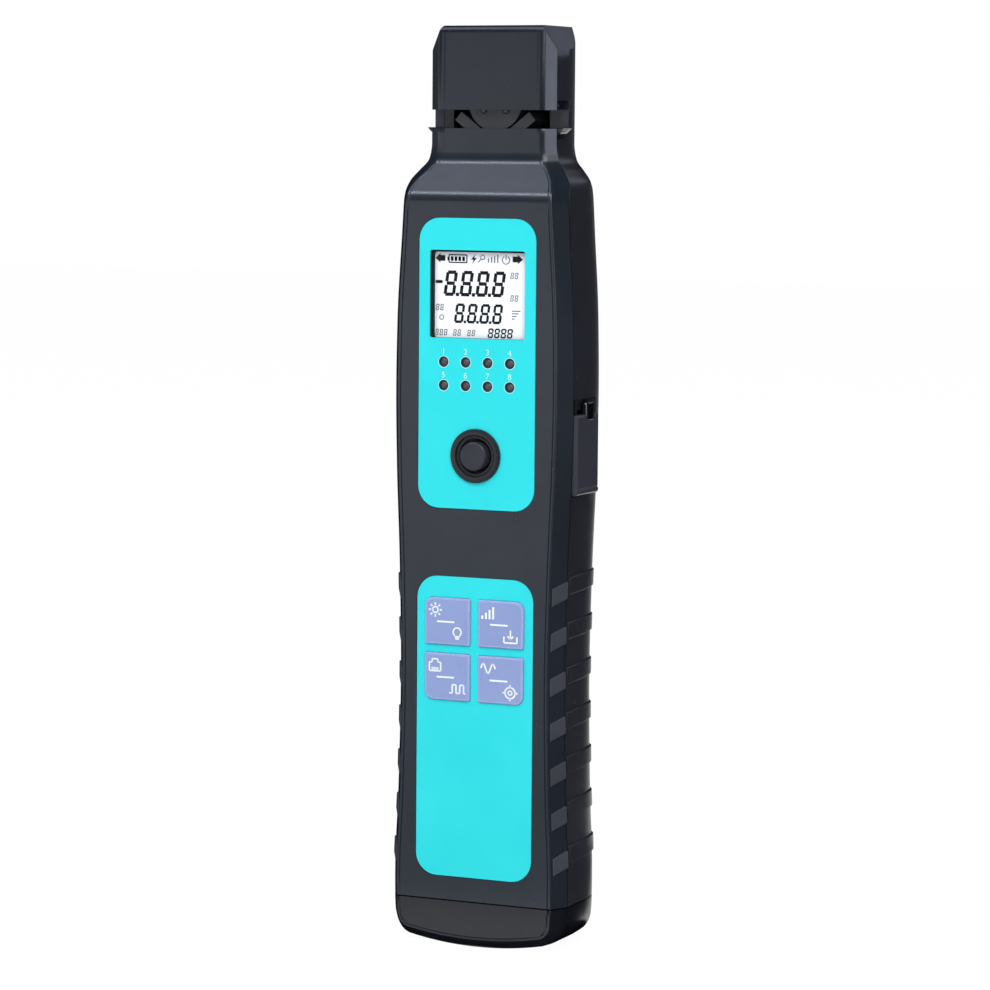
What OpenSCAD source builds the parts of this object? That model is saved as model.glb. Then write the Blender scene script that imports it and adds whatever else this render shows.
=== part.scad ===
// Hand-held optical fibre identifier: a slim two-shell body with a clamp head on top.
// The front faces -Y, the body stands along +Z, and the lowest point of the end cap is z = 0.

/* [Body] */
// Overall length of the body, end cap to head
body_len = 221; // [200:1:240]
// Greatest half width, at the swell beside the display
body_half_w = 23.3; // [22:0.1:25]
// Depth from the label face to the flat back
body_depth = 27; // [26:0.5:30]
// Wall thickness of both shells
wall = 2; // [1.6:0.1:2.4]
// Gap shown as the seam between pieces of the casing
seam_gap = 0.2; // [0.1:0.05:0.3]
// Sideways width of the slanted band beside the label face
band_w = 2.5; // [2:0.1:3]
// Depth of the slanted band, from the face to the seam
band_d = 4.3; // [4:0.1:4.5]
// Sideways width of the slanted band on the head
head_band_w = 2.9; // [2.6:0.1:3.2]
// Small bevel along the edge of the label face
face_edge = 0.6; // [0.4:0.1:0.8]
// How far the head's front lies behind the label face
head_setback = 7; // [6.5:0.1:7.5]
// Depth of the slanted band on the head
head_band_d = 1.9; // [1.7:0.1:2.2]
// Depth at which the side walls start to lean in, as a share of the depth
facet_start_share = 0.5556; // [0.53:0.001:0.58]
// Depth at which the back corners start, as a share of the depth
facet_end_share = 0.7185; // [0.7:0.001:0.74]
// How far the leaning part of the side leans in
facet_in = 0.55; // [0.3:0.05:0.8]
// Width of each rounded back corner
back_corner = 9; // [8:0.5:10]

/* [End cap] */
// Height of the seam between the shells and the end cap
cap_h = 11.2; // [10:0.2:13]
// Radius of the shallow arc under the end cap
cap_arc_r = 90; // [80:1:110]
// Radius of the end cap's two corners
cap_corner_r = 6; // [5:0.5:7]
// Height of the tongue that enters the shells
cap_tongue_h = 3.2; // [2.5:0.1:4]
// Clearance round the tongue
cap_clear = 0.3; // [0.2:0.05:0.4]

/* [Grip ribs] */
// Number of ribs on each side
rib_count = 7; // [5:1:7]
// Spacing of the ribs
rib_pitch = 10.77; // [10:0.01:10.8]
// Height of one rib
rib_h = 4.6; // [4:0.1:5.5]
// How far a rib stands out
rib_out = 0.4; // [0.3:0.05:0.6]
// Bottom of the lowest rib
rib_first = 21.4; // [20:0.2:24]

/* [Labels] */
// Margin between a label and the edge of the label face
label_side = 4; // [3.6:0.1:4.5]
// Corner radius of the labels
label_corner = 5.2; // [4:0.1:6]
// Thickness of a label
label_t = 0.4; // [0.3:0.05:0.5]
// Gap between a label and its recess
label_gap = 0.2; // [0.1:0.05:0.3]
// Bottom of the lower label
lower_label_z = 17.2; // [16:0.1:18]
// Height of the lower label, as a share of the body length
lower_label_share = 0.328; // [0.32:0.001:0.334]
// Bottom of the upper label, as a share of the body length
upper_label_place = 0.481; // [0.478:0.001:0.484]
// Height of the upper label, as a share of the body length
upper_label_share = 0.3122; // [0.3:0.001:0.316]

/* [Display] */
// Margin between the display window and the side of the label
window_side = 2.72; // [2.4:0.02:4]
// Height of the display window
window_h = 20.9; // [19:0.1:22]
// Bottom of the display window, as a share of the body length
window_place = 0.6647; // [0.662:0.0001:0.668]
// Corner radius of the display window
window_corner = 0.6; // [0.5:0.1:1]
// Thickness of the window pane
pane_t = 0.8; // [0.6:0.1:1]
// Depth of the pane's front below the label face
pane_sink = 0.5; // [0.3:0.1:0.6]
// Ledge that holds the pane, and the frame of the display module
pane_ledge = 0.8; // [0.6:0.1:1]
// Frame of the display module round the window
lcd_border = 1.9; // [1.5:0.1:2]
// Gap between the front shell and the display module
lcd_gap = 0.3; // [0.2:0.1:0.6]

/* [Lamps] */
// Radius of an indicator lamp
lamp_r = 1.2; // [1:0.05:1.4]
// Sideways spacing of the lamps
lamp_pitch = 5.76; // [5.4:0.02:5.9]
// Height of the lower row of lamps, as a share of the body length
lamp_place = 0.6136; // [0.612:0.0001:0.615]
// Spacing of the two rows of lamps
lamp_row = 5.6; // [5:0.1:5.8]
// Clearance round a lamp
lamp_clear = 0.1; // [0.05:0.05:0.2]

/* [Clamp button] */
// Height of the button's centre, as a share of the body length
button_place = 0.5385; // [0.536:0.0001:0.541]
// Radius of the button's cap
button_r = 3.4; // [3:0.1:3.6]
// How far the cap stands out of the label face
button_out = 1.9; // [1.6:0.1:2.2]
// Travel of the button
button_travel = 3.2; // [3:0.1:3.2]
// Radius of the ring round the button
bezel_r = 6.5; // [6:0.1:7]
// Radius of the ring's inner step
bezel_step_r = 4.85; // [4.7:0.05:5]
// How far the ring stands out
bezel_out = 0.9; // [0.7:0.1:1.1]
// Radius of the ring's sleeve through the shell
sleeve_r = 4.5; // [4.3:0.1:4.6]
// Radial gap between the cap and the ring
button_gap = 0.3; // [0.25:0.05:0.35]
// Radius of the button's flange behind the sleeve
flange_r = 5; // [4.8:0.1:5.2]
// Thickness of the button's flange
flange_t = 1; // [0.8:0.1:1.2]
// Radius of the button's stem
stem_r = 1.8; // [1.6:0.1:2]
// Width of the button's ramp
ramp_w = 3; // [2.6:0.1:3.4]
// Thickness of the ramp below its sloping face
ramp_t = 1; // [0.8:0.1:1.2]

/* [Keys] */
// Margin between the keys and the side of the label
key_side = 2.17; // [2:0.01:2.4]
// Height of a key
key_h = 11.3; // [10.8:0.1:11.6]
// How far a key stands out
key_out = 0.6; // [0.4:0.1:0.9]
// Sideways gap between two keys
key_gap = 2.1; // [1.9:0.1:2.4]
// Upward spacing of the keys
key_pitch_z = 13.4; // [13.2:0.1:13.8]
// Height of the centre of the four keys, as a share of the body length
keys_place = 0.3271; // [0.325:0.0001:0.33]
// Radius of each key's outer corner
key_corner = 2.1; // [1.6:0.1:2.6]
// Radius of each key's other corners
key_small_corner = 0.5; // [0.3:0.1:0.8]
// Travel of a key
key_travel = 0.5; // [0.3:0.05:0.5]
// Rim by which the key's flange is wider than the key
key_rim = 0.5; // [0.4:0.05:0.5]
// Thickness of the key's flange
key_flange_t = 0.8; // [0.6:0.1:0.9]
// Radius of the peg behind a key
key_peg_r = 1.5; // [1.2:0.1:1.8]
// Width of a key switch
switch_w = 6; // [5:0.1:6.4]
// Clearance round a key
key_clear = 0.12; // [0.1:0.01:0.2]

/* [Clamp head] */
// Height of the head above the slot's floor
head_h = 24.4; // [24:0.1:25]
// Height of the fibre slot
slot_h = 4.4; // [4.2:0.1:4.8]
// Depth of the slot's back wall below the label face
slot_back = 13.3; // [13:0.1:14]
// Side wall of the well that holds the mechanism
well_side = 3.7; // [3.5:0.1:4]
// Depth of the back of the well
well_back = 20.5; // [20:0.1:21]
// Roof above the well
well_roof = 4; // [3.6:0.1:5]
// Width of the corners cut off the top of the head
head_cut_w = 3.3; // [2.6:0.1:4]
// Height of the corners cut off the top of the head
head_cut_h = 5.8; // [4:0.1:6.5]
// Size of the bevel over the head's front
head_bevel = 1.8; // [1.4:0.1:2.2]
// Radius of the mandrel that the fibre bends round, as a share of the well
mandrel_share = 0.555; // [0.53:0.005:0.56]
// Height of the mandrel's axis above the slot's floor
mandrel_rise = 6.4; // [6.2:0.1:6.8]
// Lift of the mandrel when the button is pressed
press_lift = 4; // [3.8:0.1:4]
// Depth of the mandrel's front face
mandrel_front = 9.5; // [9.4:0.1:9.8]
// Depth of the mandrel's back face
mandrel_back = 19; // [18:0.1:19.5]
// Height of the mandrel's block above its axis
mandrel_top = 4; // [3.5:0.1:4.5]
// Radius of the two pins in the mandrel
pin_r = 0.85; // [0.7:0.05:1]
// Sideways place of the two pins
pin_x = 2.9; // [2.6:0.1:3.2]
// Width of the lifting bar
bar_w = 6; // [5:0.1:6.2]
// Thickness of the lifting bar
bar_t = 2; // [1.8:0.1:2.2]
// Depth of the lifting bar's front
bar_front = 11.3; // [11.2:0.1:11.6]
// Slope of the two guide pads, in degrees
pad_angle = 38.5; // [36:0.5:41]
// Thickness of a guide pad
pad_t = 2.6; // [2.2:0.1:2.8]
// Gap between pad and mandrel for the fibre
pad_gap = 0.4; // [0.3:0.05:0.6]
// Height of a guide pad's top corner above the slot floor
pad_rise = 4; // [3.6:0.1:4.1]
// How far the side lips stand out of the neck
lip_out = 1.3; // [1:0.1:1.5]
// Extra height of the side lips where they leave the neck
lip_slope = 0.8; // [0.6:0.1:0.9]
// Height of the side lips at their outer end
lip_h = 1.1; // [0.9:0.1:1.4]
// Gap above the floor piece, round the lips and beside the bar
guide_gap = 0.2; // [0.15:0.05:0.25]
// Height of the guide block's base below the slot floor
guide_drop = 6.6; // [6:0.1:7]
// Thickness of the guide block's base
guide_t = 4; // [3.5:0.1:4.2]
// Width of the guide block's side walls
guide_wall = 1.2; // [1:0.1:1.5]
// Radius of the light detectors in the guide pads
detector_r = 0.8; // [0.6:0.1:1]
// Length of the light detectors
detector_l = 2; // [1.8:0.1:2.2]
// Depth of the detectors' faces below the slope of the pads
detector_sink = 0.3; // [0.2:0.05:0.4]
// Length of the pegs that hold the head cover
peg_l = 4; // [3:0.1:5]
// Radius of the pegs that hold the head cover
peg_r = 1.2; // [1:0.1:1.3]

/* [Spring] */
// Mean radius of the press spring
spring_r = 2.6; // [2.2:0.1:3]
// Wire radius of the press spring
wire_r = 0.35; // [0.3:0.05:0.4]
// Number of curls of the press spring
spring_curls = 4; // [3:1:5]

/* [Side sockets] */
// Bottom of the network socket, as a share of the body length
jack_place = 0.5018; // [0.501:0.0001:0.503]
// Width of the network socket, along the body
jack_w = 15.5; // [15:0.1:15.6]
// Depth of the network socket, front to back, as a share of the depth
jack_share = 0.341; // [0.334:0.001:0.348]
// Wall of the network socket
jack_wall = 1; // [0.9:0.1:1.2]
// Distance of the network socket from the lifting bar
jack_inner_gap = 2.6; // [2.4:0.1:3.5]
// Width of the network socket's mouth
jack_mouth_w = 11.8; // [11.6:0.1:12]
// Wall beside the network socket's mouth
jack_lip = 0.85; // [0.75:0.05:1]
// Width of the charging socket, front to back
charge_d = 9; // [8.9:0.05:9.1]
// Length of the charging socket
charge_l = 7.4; // [7:0.1:7.6]
// Height of the charging socket, along the body
charge_h = 3.3; // [3.2:0.05:3.4]
// Wall of the charging socket
charge_wall = 0.4; // [0.3:0.05:0.5]
// How far the port cover reaches below the network socket
cover_drop = 1; // [0.8:0.1:1.2]
// Height of the port cover
cover_h = 19.2; // [18.8:0.1:19.6]
// Depth of the port cover's front edge
cover_front = 5.1; // [5.05:0.05:5.4]
// How far the port cover reaches behind the socket's mouth
cover_reach = 0.7; // [0.6:0.05:0.8]
// How far the port cover stands out past the widest part of the body
cover_out = 0.7; // [0.5:0.1:0.9]
// Thickness of the port cover
cover_t = 1.85; // [1.6:0.05:1.9]
// Gap round the port cover in its recess
cover_gap = 0.2; // [0.15:0.05:0.25]
// Thickness of the cover's pull tab
tab_t = 1.1; // [0.9:0.1:1.3]
// Height of the pull tab
tab_h = 4.6; // [4:0.1:5]
// Width of the pull tab
tab_w = 5.6; // [5:0.1:6]

/* [Inside] */
// Depth of the circuit board's front
board_y = 8; // [7.9:0.1:8.2]
// Thickness of the circuit board
board_t = 1.6; // [1.2:0.1:1.6]
// Clearance between the board and the side walls
board_clear = 0.8; // [0.6:0.1:1]
// Bottom of the circuit board, as a share of the body length
board_place = 0.163; // [0.16:0.001:0.17]
// Top of the circuit board, as a share of the body length
board_top_place = 0.8145; // [0.8:0.0005:0.8145]
// Thickness of the battery
battery_t = 8.5; // [7:0.1:9]
// Length of the battery, as a share of the body length
battery_share = 0.235; // [0.2:0.001:0.24]
// Bottom of the battery, as a share of the body length
battery_place = 0.2; // [0.195:0.001:0.205]
// Radius of the laser module
laser_r = 4.2; // [4:0.1:4.3]
// Length of the laser module
laser_l = 22; // [18:0.5:23]
// Radius of the ferrule bores in both optical ports
ferrule_r = 1.26; // [1.25:0.01:1.28]
// Sideways place of the laser port and the torch lamp, as a share of the half width
port_share = 0.4292; // [0.41:0.0002:0.44]
// Depth of the ferrule bores
ferrule_l = 9; // [8:0.5:10]
// Radius of the laser port's sleeve
laser_port_r = 3; // [2.6:0.1:3.2]
// Radius of the meter port's sleeve
meter_port_r = 4.2; // [3.8:0.1:4.4]
// Radius of the torch lamp's collar
torch_r = 3; // [2.6:0.1:3.2]
// Distance of the sounder's centre from the middle plane
sounder_x = 8; // [7.6:0.1:8.4]
// Height of the sounder's centre, as a share of the body length
sounder_place = 0.6335; // [0.62:0.0005:0.66]
// Radius of the sounder
sounder_r = 4.5; // [4:0.1:5]
// Height of the sounder
sounder_h = 3.5; // [3:0.1:4]

/* [Screws] */
// Radius of a screw's shank
screw_r = 0.85; // [0.8:0.05:1]
// Radius of a screw's head
screw_head_r = 1.7; // [1.5:0.1:1.9]
// Radius of the screw posts
post_r = 2.6; // [2.4:0.1:2.8]
// Distance of the screw posts from the widest part of the body
post_side = 6.1; // [6:0.1:6.3]

/* [Hidden] */

$fn = 48;
// One overrun serves every cut, and one close fit every seated rod.
over = 1;
seat = 0.02;

// Shares of the half width: at the head, at the sockets, and at the narrowest grip.
head_share = 0.7;
swell_share = 0.985;
grip_share = 0.928;
// Shares for small steps: switch base, mandrel block, sounder hole, laser barrel and neck.
base_share = 0.8;
block_share = 0.94;
hole_share = 0.25;
barrel_share = 0.8;
neck_share = 0.6;
lip_lean = 0.9;
// Steps in each half of the end cap's arc, and in each corner.
arc_steps = 12;
// Places that follow from the sizes above.
face_y = (button_out - body_depth) / 2;
back_y = face_y + body_depth;
mid_y = face_y + body_depth / 2;
head_half_w = body_half_w * head_share;
facet_start = body_depth * facet_start_share;
facet_end = body_depth * facet_end_share;
slot_z = body_len - head_h;
slot_top = slot_z + slot_h;
well_half_w = head_half_w - well_side;
well_top = body_len - well_roof;
mandrel_r = well_half_w * mandrel_share;
mandrel_z = slot_z + mandrel_rise;
label_half_w = body_half_w * grip_share - band_w - label_side;
lower_label_h = lower_label_share * body_len;
upper_label_z = upper_label_place * body_len;
upper_label_h = upper_label_share * body_len;
window_w = 2 * (label_half_w - window_side);
window_z = window_place * body_len;
lamp_z = lamp_place * body_len;
button_z = button_place * body_len;
key_w = label_half_w - key_side - key_gap / 2;
key_pitch_x = key_w + key_gap;
keys_z = keys_place * body_len;
board_z = board_place * body_len;
board_top = board_top_place * body_len;
battery_w = 2 * (grip_share * body_half_w - wall - back_corner);
battery_l = battery_share * body_len;
battery_z = battery_place * body_len;
sounder_z = sounder_place * body_len;
port_x = port_share * body_half_w;
post_x = body_half_w - post_side;
board_front = face_y + board_y;
board_back = board_front + board_t;
cap_top = cap_h + cap_tongue_h;
sleeve_end = 2 * wall + guide_gap;
stem_end = board_front + lamp_clear;
ramp_slope = press_lift / button_travel;
bar_low = button_z - ramp_t / 2;
bar_high = slot_top;
bar_half = bar_w / 2 + guide_gap;
switch_d = board_y - 2 * wall;
screw_tip = face_y + wall + post_r / 2;
screw_seat = back_y - 1.8 * wall;
peg_x = (well_half_w + head_half_w) / 2;
peg_z = (slot_top + body_len) / 2;
spring_mid = face_y + (mandrel_front + mandrel_back) / 2;
lip_x = head_half_w + lip_out;
pad_top = slot_z + pad_rise;
detector_rows = [face_y + mandrel_front + pad_t, face_y + mandrel_back - pad_t];
rim = (jack_w - jack_mouth_w) / 2 - jack_wall / 2;
jack_z = jack_place * body_len;
jack_d = jack_share * body_depth;
jack_mouth_d = jack_d - 2 * jack_lip;
mouth_y = board_y + board_t + jack_lip;
jack_end = body_half_w * swell_share - wall - 2 * facet_in;
jack_l = jack_end - bar_half - jack_inner_gap;
charge_z = jack_z + jack_w + charge_wall;
cover_x = body_half_w + cover_out;
cover_z = jack_z - cover_drop;
cover_back = mouth_y + jack_mouth_d + cover_reach;

// Height share, half-width share and set-back share of each cross-section, bottom to top.
section_shares = [
  [0.000, 0.975, 0], [0.0506, 0.987, 0], [0.088, 0.974, 0], [0.125, 0.960, 0],
  [0.172, 0.947, 0], [0.219, 0.937, 0], [0.260, 0.930, 0], [0.300, 0.928, 0],
  [0.340, 0.930, 0], [0.378, 0.937, 0], [0.418, 0.949, 0], [0.450, 0.961, 0],
  [0.484, 0.973, 0], [0.520, 0.985, 0], [0.557, 0.994, 0], [0.590, 0.999, 0],
  [0.620, 1.000, 0], [0.652, 0.997, 0], [0.683, 0.989, 0], [0.715, 0.976, 0],
  [0.747, 0.960, 0], [0.778, 0.942, 0], [0.809, 0.921, 0], [0.8140, 0.918, 0],
  [0.8190, 0.916, 0.06], [0.8258, 0.905, 0.26], [0.8326, 0.884, 0.45],
  [0.8385, 0.854, 0.62], [0.8448, 0.807, 0.80], [0.8507, 0.766, 0.93],
  [0.8548, 0.740, 0.98], [0.8600, 0.720, 1], [0.8655, 0.708, 1], [0.8740, 0.700, 1],
  [1.000, 0.700, 1]
];
// Inward share and depth share of the points of a rounded back corner.
corner_shares = [[0.12, 0.41], [0.36, 0.76], [0.67, 0.95], [1, 1]];
// Share of the wall by which the label face's edge moves in, inside the front shell.
edge_inset_share = 0.6;
// Height shares where the hollows of the shells end.
front_hollow_share = 0.8448;
rear_hollow_share = 0.8548;
// Height shares of the rows of screw posts.
post_shares = [0.1855, 0.4344, 0.7692];

width_table = [for (s = section_shares) [s[0], s[1]]];
setback_table = [for (s = section_shares) [s[0], s[2]]];

function half_w(z) = body_half_w * lookup(z / body_len, width_table);
function set_share(z) = lookup(z / body_len, setback_table);
function mix(a, b, t) = a + (b - a) * t;
// Height of the end cap's arc at a distance x from the middle plane.
function arc_at(x) = cap_arc_r - sqrt(cap_arc_r * cap_arc_r - x * x);
function front_y(z) = face_y + head_setback * set_share(z);
function seam_y(z) = face_y + mix(band_d, head_setback + head_band_d, set_share(z));
function front_half(z) = half_w(z) - mix(band_w, head_band_w, set_share(z));
function band_run(z) = mix(band_w / band_d, head_band_w / head_band_d, set_share(z));

// Heights from z0 to z1, with every cross-section between them.
function levels(z0, z1) = concat(
  [z0],
  [for (s = section_shares) if (s[0] * body_len > z0 && s[0] * body_len < z1) s[0] * body_len],
  [z1]
);

// Front outline at height z: drawn in by t, and carried past the seam by k.
function front_ring(z, t, k) =
  let (w = half_w(z) - t, f = front_half(z) - t * edge_inset_share, y = front_y(z) + t,
       e = min(face_edge, (seam_y(z) - front_y(z)) / 2))
  [
    [-w, seam_y(z) + k, z], [-f - e * band_run(z), y + e, z], [-f + e, y, z],
    [f - e, y, z], [f + e * band_run(z), y + e, z], [w, seam_y(z) + k, z]
  ];

// Right half of the rear outline at height z, from the seam to the back.
function rear_side(z, t, k) =
  let (w = half_w(z) - t)
  concat(
    [[w, seam_y(z) + seam_gap - k, z], [w, face_y + facet_start, z], [w - facet_in, face_y + facet_end, z]],
    [for (c = corner_shares) [
      w - facet_in - (back_corner - facet_in) * c[0],
      mix(face_y + facet_end, back_y - t, c[1]), z
    ]]
  );
function mirrored(points) = [for (i = [len(points) - 1:-1:0]) [-points[i][0], points[i][1], points[i][2]]];
function rear_ring(z, t, k) = concat(rear_side(z, t, k), mirrored(rear_side(z, t, k)));
function tail(points) = [for (i = [1:len(points) - 1]) points[i]];
// The whole outline at height z.
function full_ring(z, t) =
  concat(front_ring(z, t, 0), tail(rear_side(z, t, 0)), mirrored(tail(rear_side(z, t, 0))));

// A closed solid through a stack of rings with equal numbers of points.
module stack(rings) {
  n = len(rings[0]);
  m = len(rings);
  points = [for (ring = rings) for (p = ring) p];
  sides = [
    for (i = [0:m - 2]) for (j = [0:n - 1]) let (a = i * n + j, b = i * n + (j + 1) % n)
    for (f = [[a, a + n, b + n], [a, b + n, b]]) f
  ];
  polyhedron(
    points = points,
    faces = concat(
      [[for (j = [0:n - 1]) j]], sides, [[for (j = [n - 1:-1:0]) (m - 1) * n + j]]
    ),
    convexity = 6
  );
}

// A flat outline in X and Z, made solid from depth y0 over a thickness t.
module plate_at(y0, t) {
  translate([0, y0 + t, 0]) rotate([90, 0, 0]) linear_extrude(t) children();
}

// A rod along Y from depth y0 to y1.
module rod_y(r, y0, y1) {
  translate([0, y1, 0]) rotate([90, 0, 0]) cylinder(r = r, h = y1 - y0);
}

// A box given by its two corners.
module box(low, high) {
  translate(low) cube(high - low);
}

// A rectangle about its centre with four corner radii: lower left, lower right, upper right, upper left.
module corner_plate(w, h, radii) {
  places = [[-1, -1], [1, -1], [1, 1], [-1, 1]];
  difference() {
    square([w, h], center = true);
    for (i = [0:3]) translate([places[i][0] * w / 2, places[i][1] * h / 2])
      square(2 * radii[i], center = true);
  }
  for (i = [0:3])
    translate([places[i][0] * (w / 2 - radii[i]), places[i][1] * (h / 2 - radii[i])])
      circle(r = radii[i]);
}

// The four corners of the head's outline that are cut away, seen from the front.
module head_corner_cut() {
  w = half_w(body_len);
  for (s = [-1, 1]) scale([s, 1, 1])
    plate_at(face_y - over, body_depth + 2 * over)
      polygon([
        [w - head_cut_w, body_len], [w, body_len - head_cut_h], [w + over, body_len - head_cut_h],
        [w + over, body_len + over], [w - head_cut_w, body_len + over]
      ]);
}

module label_outline(z0, h, gap) {
  translate([0, z0 + h / 2])
    corner_plate(2 * label_half_w + 2 * gap, h + 2 * gap, [for (i = [0:3]) label_corner + gap]);
}

module each_lamp() {
  for (i = [0:3]) for (j = [0, 1])
    translate([(i - 1.5) * lamp_pitch, 0, lamp_z + j * lamp_row]) children();
}

module each_post() {
  for (s = [-1, 1]) for (p = post_shares) translate([s * post_x, 0, p * body_len]) children();
}

// Key outline for the key at sides sx and sz of the group, grown by gap.
module key_outline(sx, sz, gap) {
  round_at = [[-1, -1], [1, -1], [1, 1], [-1, 1]];
  radii = [for (c = round_at) (c[0] == sx && c[1] == sz ? key_corner : key_small_corner) + gap];
  translate([sx * key_pitch_x / 2, keys_z + sz * key_pitch_z / 2])
    corner_plate(key_w + 2 * gap, key_h + 2 * gap, radii);
}

module all_key_outlines(gap) {
  for (sx = [-1, 1]) for (sz = [-1, 1]) key_outline(sx, sz, gap);
}

module window_outline(grow) {
  translate([0, window_z + window_h / 2])
    corner_plate(window_w + 2 * grow, window_h + 2 * grow, [for (i = [0:3]) window_corner]);
}

// The same outline or box on the right (s = 1) or on the left (s = -1).
function side_ring(points, s) = s > 0 ? points : mirrored(points);
module side_polygon(s, points) {
  polygon([for (p = points) [s * p[0], p[1]]]);
}
module side_box(s, low, high) {
  box([min(s * low[0], s * high[0]), low[1], low[2]], [max(s * low[0], s * high[0]), high[1], high[2]]);
}

// Casing.
module rib_band(s, z0) {
  stack([for (z = [z0, z0 + rib_h])
    let (w = half_w(z), f = front_half(z), y = front_y(z))
    side_ring([
      [f + face_edge * band_run(z), y + face_edge, z], [w + rib_out, seam_y(z), z],
      [w - wall / 2, seam_y(z), z], [f - wall / 2, y + face_edge, z]
    ], s)
  ]);
}

module rib_block(s, z0) {
  stack([for (z = [z0, z0 + rib_h])
    let (w = half_w(z), y0 = seam_y(z) + seam_gap)
    side_ring([
      [w + rib_out, y0, z], [w + rib_out, face_y + facet_start, z],
      [w - facet_in + rib_out, face_y + facet_end, z], [w - facet_in - wall / 2, face_y + facet_end, z],
      [w - wall / 2, y0, z]
    ], s)
  ]);
}

module front_shell() {
  color("#3c4046") {
    difference() {
      union() {
        difference() {
          stack([for (z = levels(cap_h, slot_z)) front_ring(z, 0, 0)]);
          stack([for (z = levels(cap_h - over, front_hollow_share * body_len)) front_ring(z, wall, over)]);
        }
        for (s = [-1, 1]) for (i = [0:rib_count - 1]) rib_band(s, rib_first + i * rib_pitch);
        each_post() rod_y(post_r, face_y + wall / 2, board_front);
      }
      plate_at(face_y - over, over + label_t) label_outline(upper_label_z, upper_label_h, label_gap);
      plate_at(face_y - over, over + label_t) label_outline(lower_label_z, lower_label_h, label_gap);
      plate_at(face_y - over, wall + 2 * over) window_outline(0);
      plate_at(face_y + pane_sink, wall + over) window_outline(pane_ledge + seat);
      each_lamp() rod_y(lamp_r + lamp_clear, face_y - over, face_y + wall + over);
      translate([0, 0, button_z]) rod_y(sleeve_r + seat, face_y - over, face_y + wall + over);
      plate_at(face_y - over, wall + 2 * over) all_key_outlines(key_clear);
      each_post() rod_y(screw_r + seat, screw_tip, board_front + over);
    }
  }
}

module rear_shell() {
  well_y = face_y + head_setback + head_band_d;
  color("#2b2d31") {
    difference() {
      union() {
        difference() {
          stack([for (z = levels(cap_h, body_len)) rear_ring(z, 0, 0)]);
          stack([for (z = levels(cap_h - over, rear_hollow_share * body_len)) rear_ring(z, wall, over)]);
        }
        for (s = [-1, 1]) for (i = [0:rib_count - 1]) rib_block(s, rib_first + i * rib_pitch);
        each_post() rod_y(post_r, board_back, screw_seat);
      }
      box([-well_half_w, well_y - over, rear_hollow_share * body_len - over],
          [well_half_w, face_y + well_back, well_top]);
      box([-body_half_w, face_y, slot_z], [body_half_w, face_y + slot_back, slot_top]);
      for (s = [-1, 1]) {
        side_box(s, [well_half_w - over, well_y - over, slot_z - lip_h - 2 * guide_gap - lip_slope],
                    [body_half_w, face_y + slot_back + guide_gap, slot_z + over]);
        translate([s * peg_x, 0, peg_z]) rod_y(peg_r + seat, well_y - over, well_y + seam_gap + peg_l);
      }
      head_corner_cut();
      box([cover_x - cover_t - cover_gap, face_y + cover_front - cover_gap, cover_z - cover_gap],
          [cover_x + over, face_y + cover_back + cover_gap, cover_z + cover_h + tab_h - cover_gap * 4]);
      box([jack_end - over, face_y + mouth_y - charge_wall, jack_z + rim],
          [cover_x, face_y + mouth_y + jack_mouth_d + charge_wall, charge_z + charge_h]);
      each_post() rod_y(screw_r + seat, board_front, back_y + over);
      each_post() rod_y(screw_head_r + guide_gap, screw_seat, back_y + over);
    }
  }
}

module head_cover() {
  y1 = face_y + head_setback + head_band_d;
  color("#3c4046") {
    difference() {
      stack([for (z = levels(slot_top, body_len)) front_ring(z, 0, 0)]);
      head_corner_cut();
      translate([-body_half_w, 0, 0]) rotate([90, 0, 90]) linear_extrude(2 * body_half_w)
        polygon([
          [face_y + head_setback - over, body_len - head_bevel - over],
          [y1 + over, body_len + over + (head_band_d - head_bevel)],
          [face_y + head_setback - over, body_len + over + head_band_d]
        ]);
    }
    for (s = [-1, 1]) translate([s * peg_x, 0, peg_z]) rod_y(peg_r, y1 - wall / 4, y1 + seam_gap + peg_l);
  }
}

module cap_outline() {
  w = half_w(cap_corner_r);
  r = cap_corner_r;
  x = w - r;
  z = cap_arc_r - sqrt(pow(cap_arc_r - r, 2) - x * x);
  turn = asin(x / (cap_arc_r - r));
  polygon(concat(
    [for (i = [-arc_steps:arc_steps]) let (a = turn * i / arc_steps)
      [cap_arc_r * sin(a), cap_arc_r * (1 - cos(a))]],
    [for (i = [1:arc_steps]) let (a = mix(turn - 90, 0, i / arc_steps)) [x + r * cos(a), z + r * sin(a)]],
    [[w + over, z + over], [w + over, cap_h + over], [-w - over, cap_h + over], [-w - over, z + over]],
    [for (i = [arc_steps:-1:1]) let (a = mix(turn - 90, 0, i / arc_steps)) [-x - r * cos(a), z + r * sin(a)]]
  ));
}

module end_cap() {
  color("#232529") difference() {
    union() {
      intersection() {
        stack([for (z = [0, cap_h]) full_ring(z, 0)]);
        plate_at(face_y - over, body_depth + 2 * over) cap_outline();
      }
      stack([for (z = [cap_h - over, cap_h + cap_tongue_h]) full_ring(z, wall + cap_clear)]);
    }
    port_bore(-port_x, laser_port_r);
    port_bore(0, meter_port_r);
    port_bore(port_x, torch_r);
  }
}

module port_bore(x, r) {
  translate([x, mid_y, -over]) cylinder(r = r + seat, h = cap_top + 2 * over);
}

// Front.
module upper_label() {
  color("#3ce8f0") difference() {
    plate_at(face_y, label_t) label_outline(upper_label_z, upper_label_h, 0);
    plate_at(face_y - over, 3 * over) window_outline(label_gap);
    each_lamp() rod_y(lamp_r + 2 * lamp_clear, face_y - over, face_y + over);
    translate([0, 0, button_z]) rod_y(bezel_r + label_gap, face_y - over, face_y + over);
  }
}

module lower_label() {
  color("#3ce8f0") difference() {
    plate_at(face_y, label_t) label_outline(lower_label_z, lower_label_h, 0);
    plate_at(face_y - over, 3 * over) all_key_outlines(key_clear + label_gap);
  }
}

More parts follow.
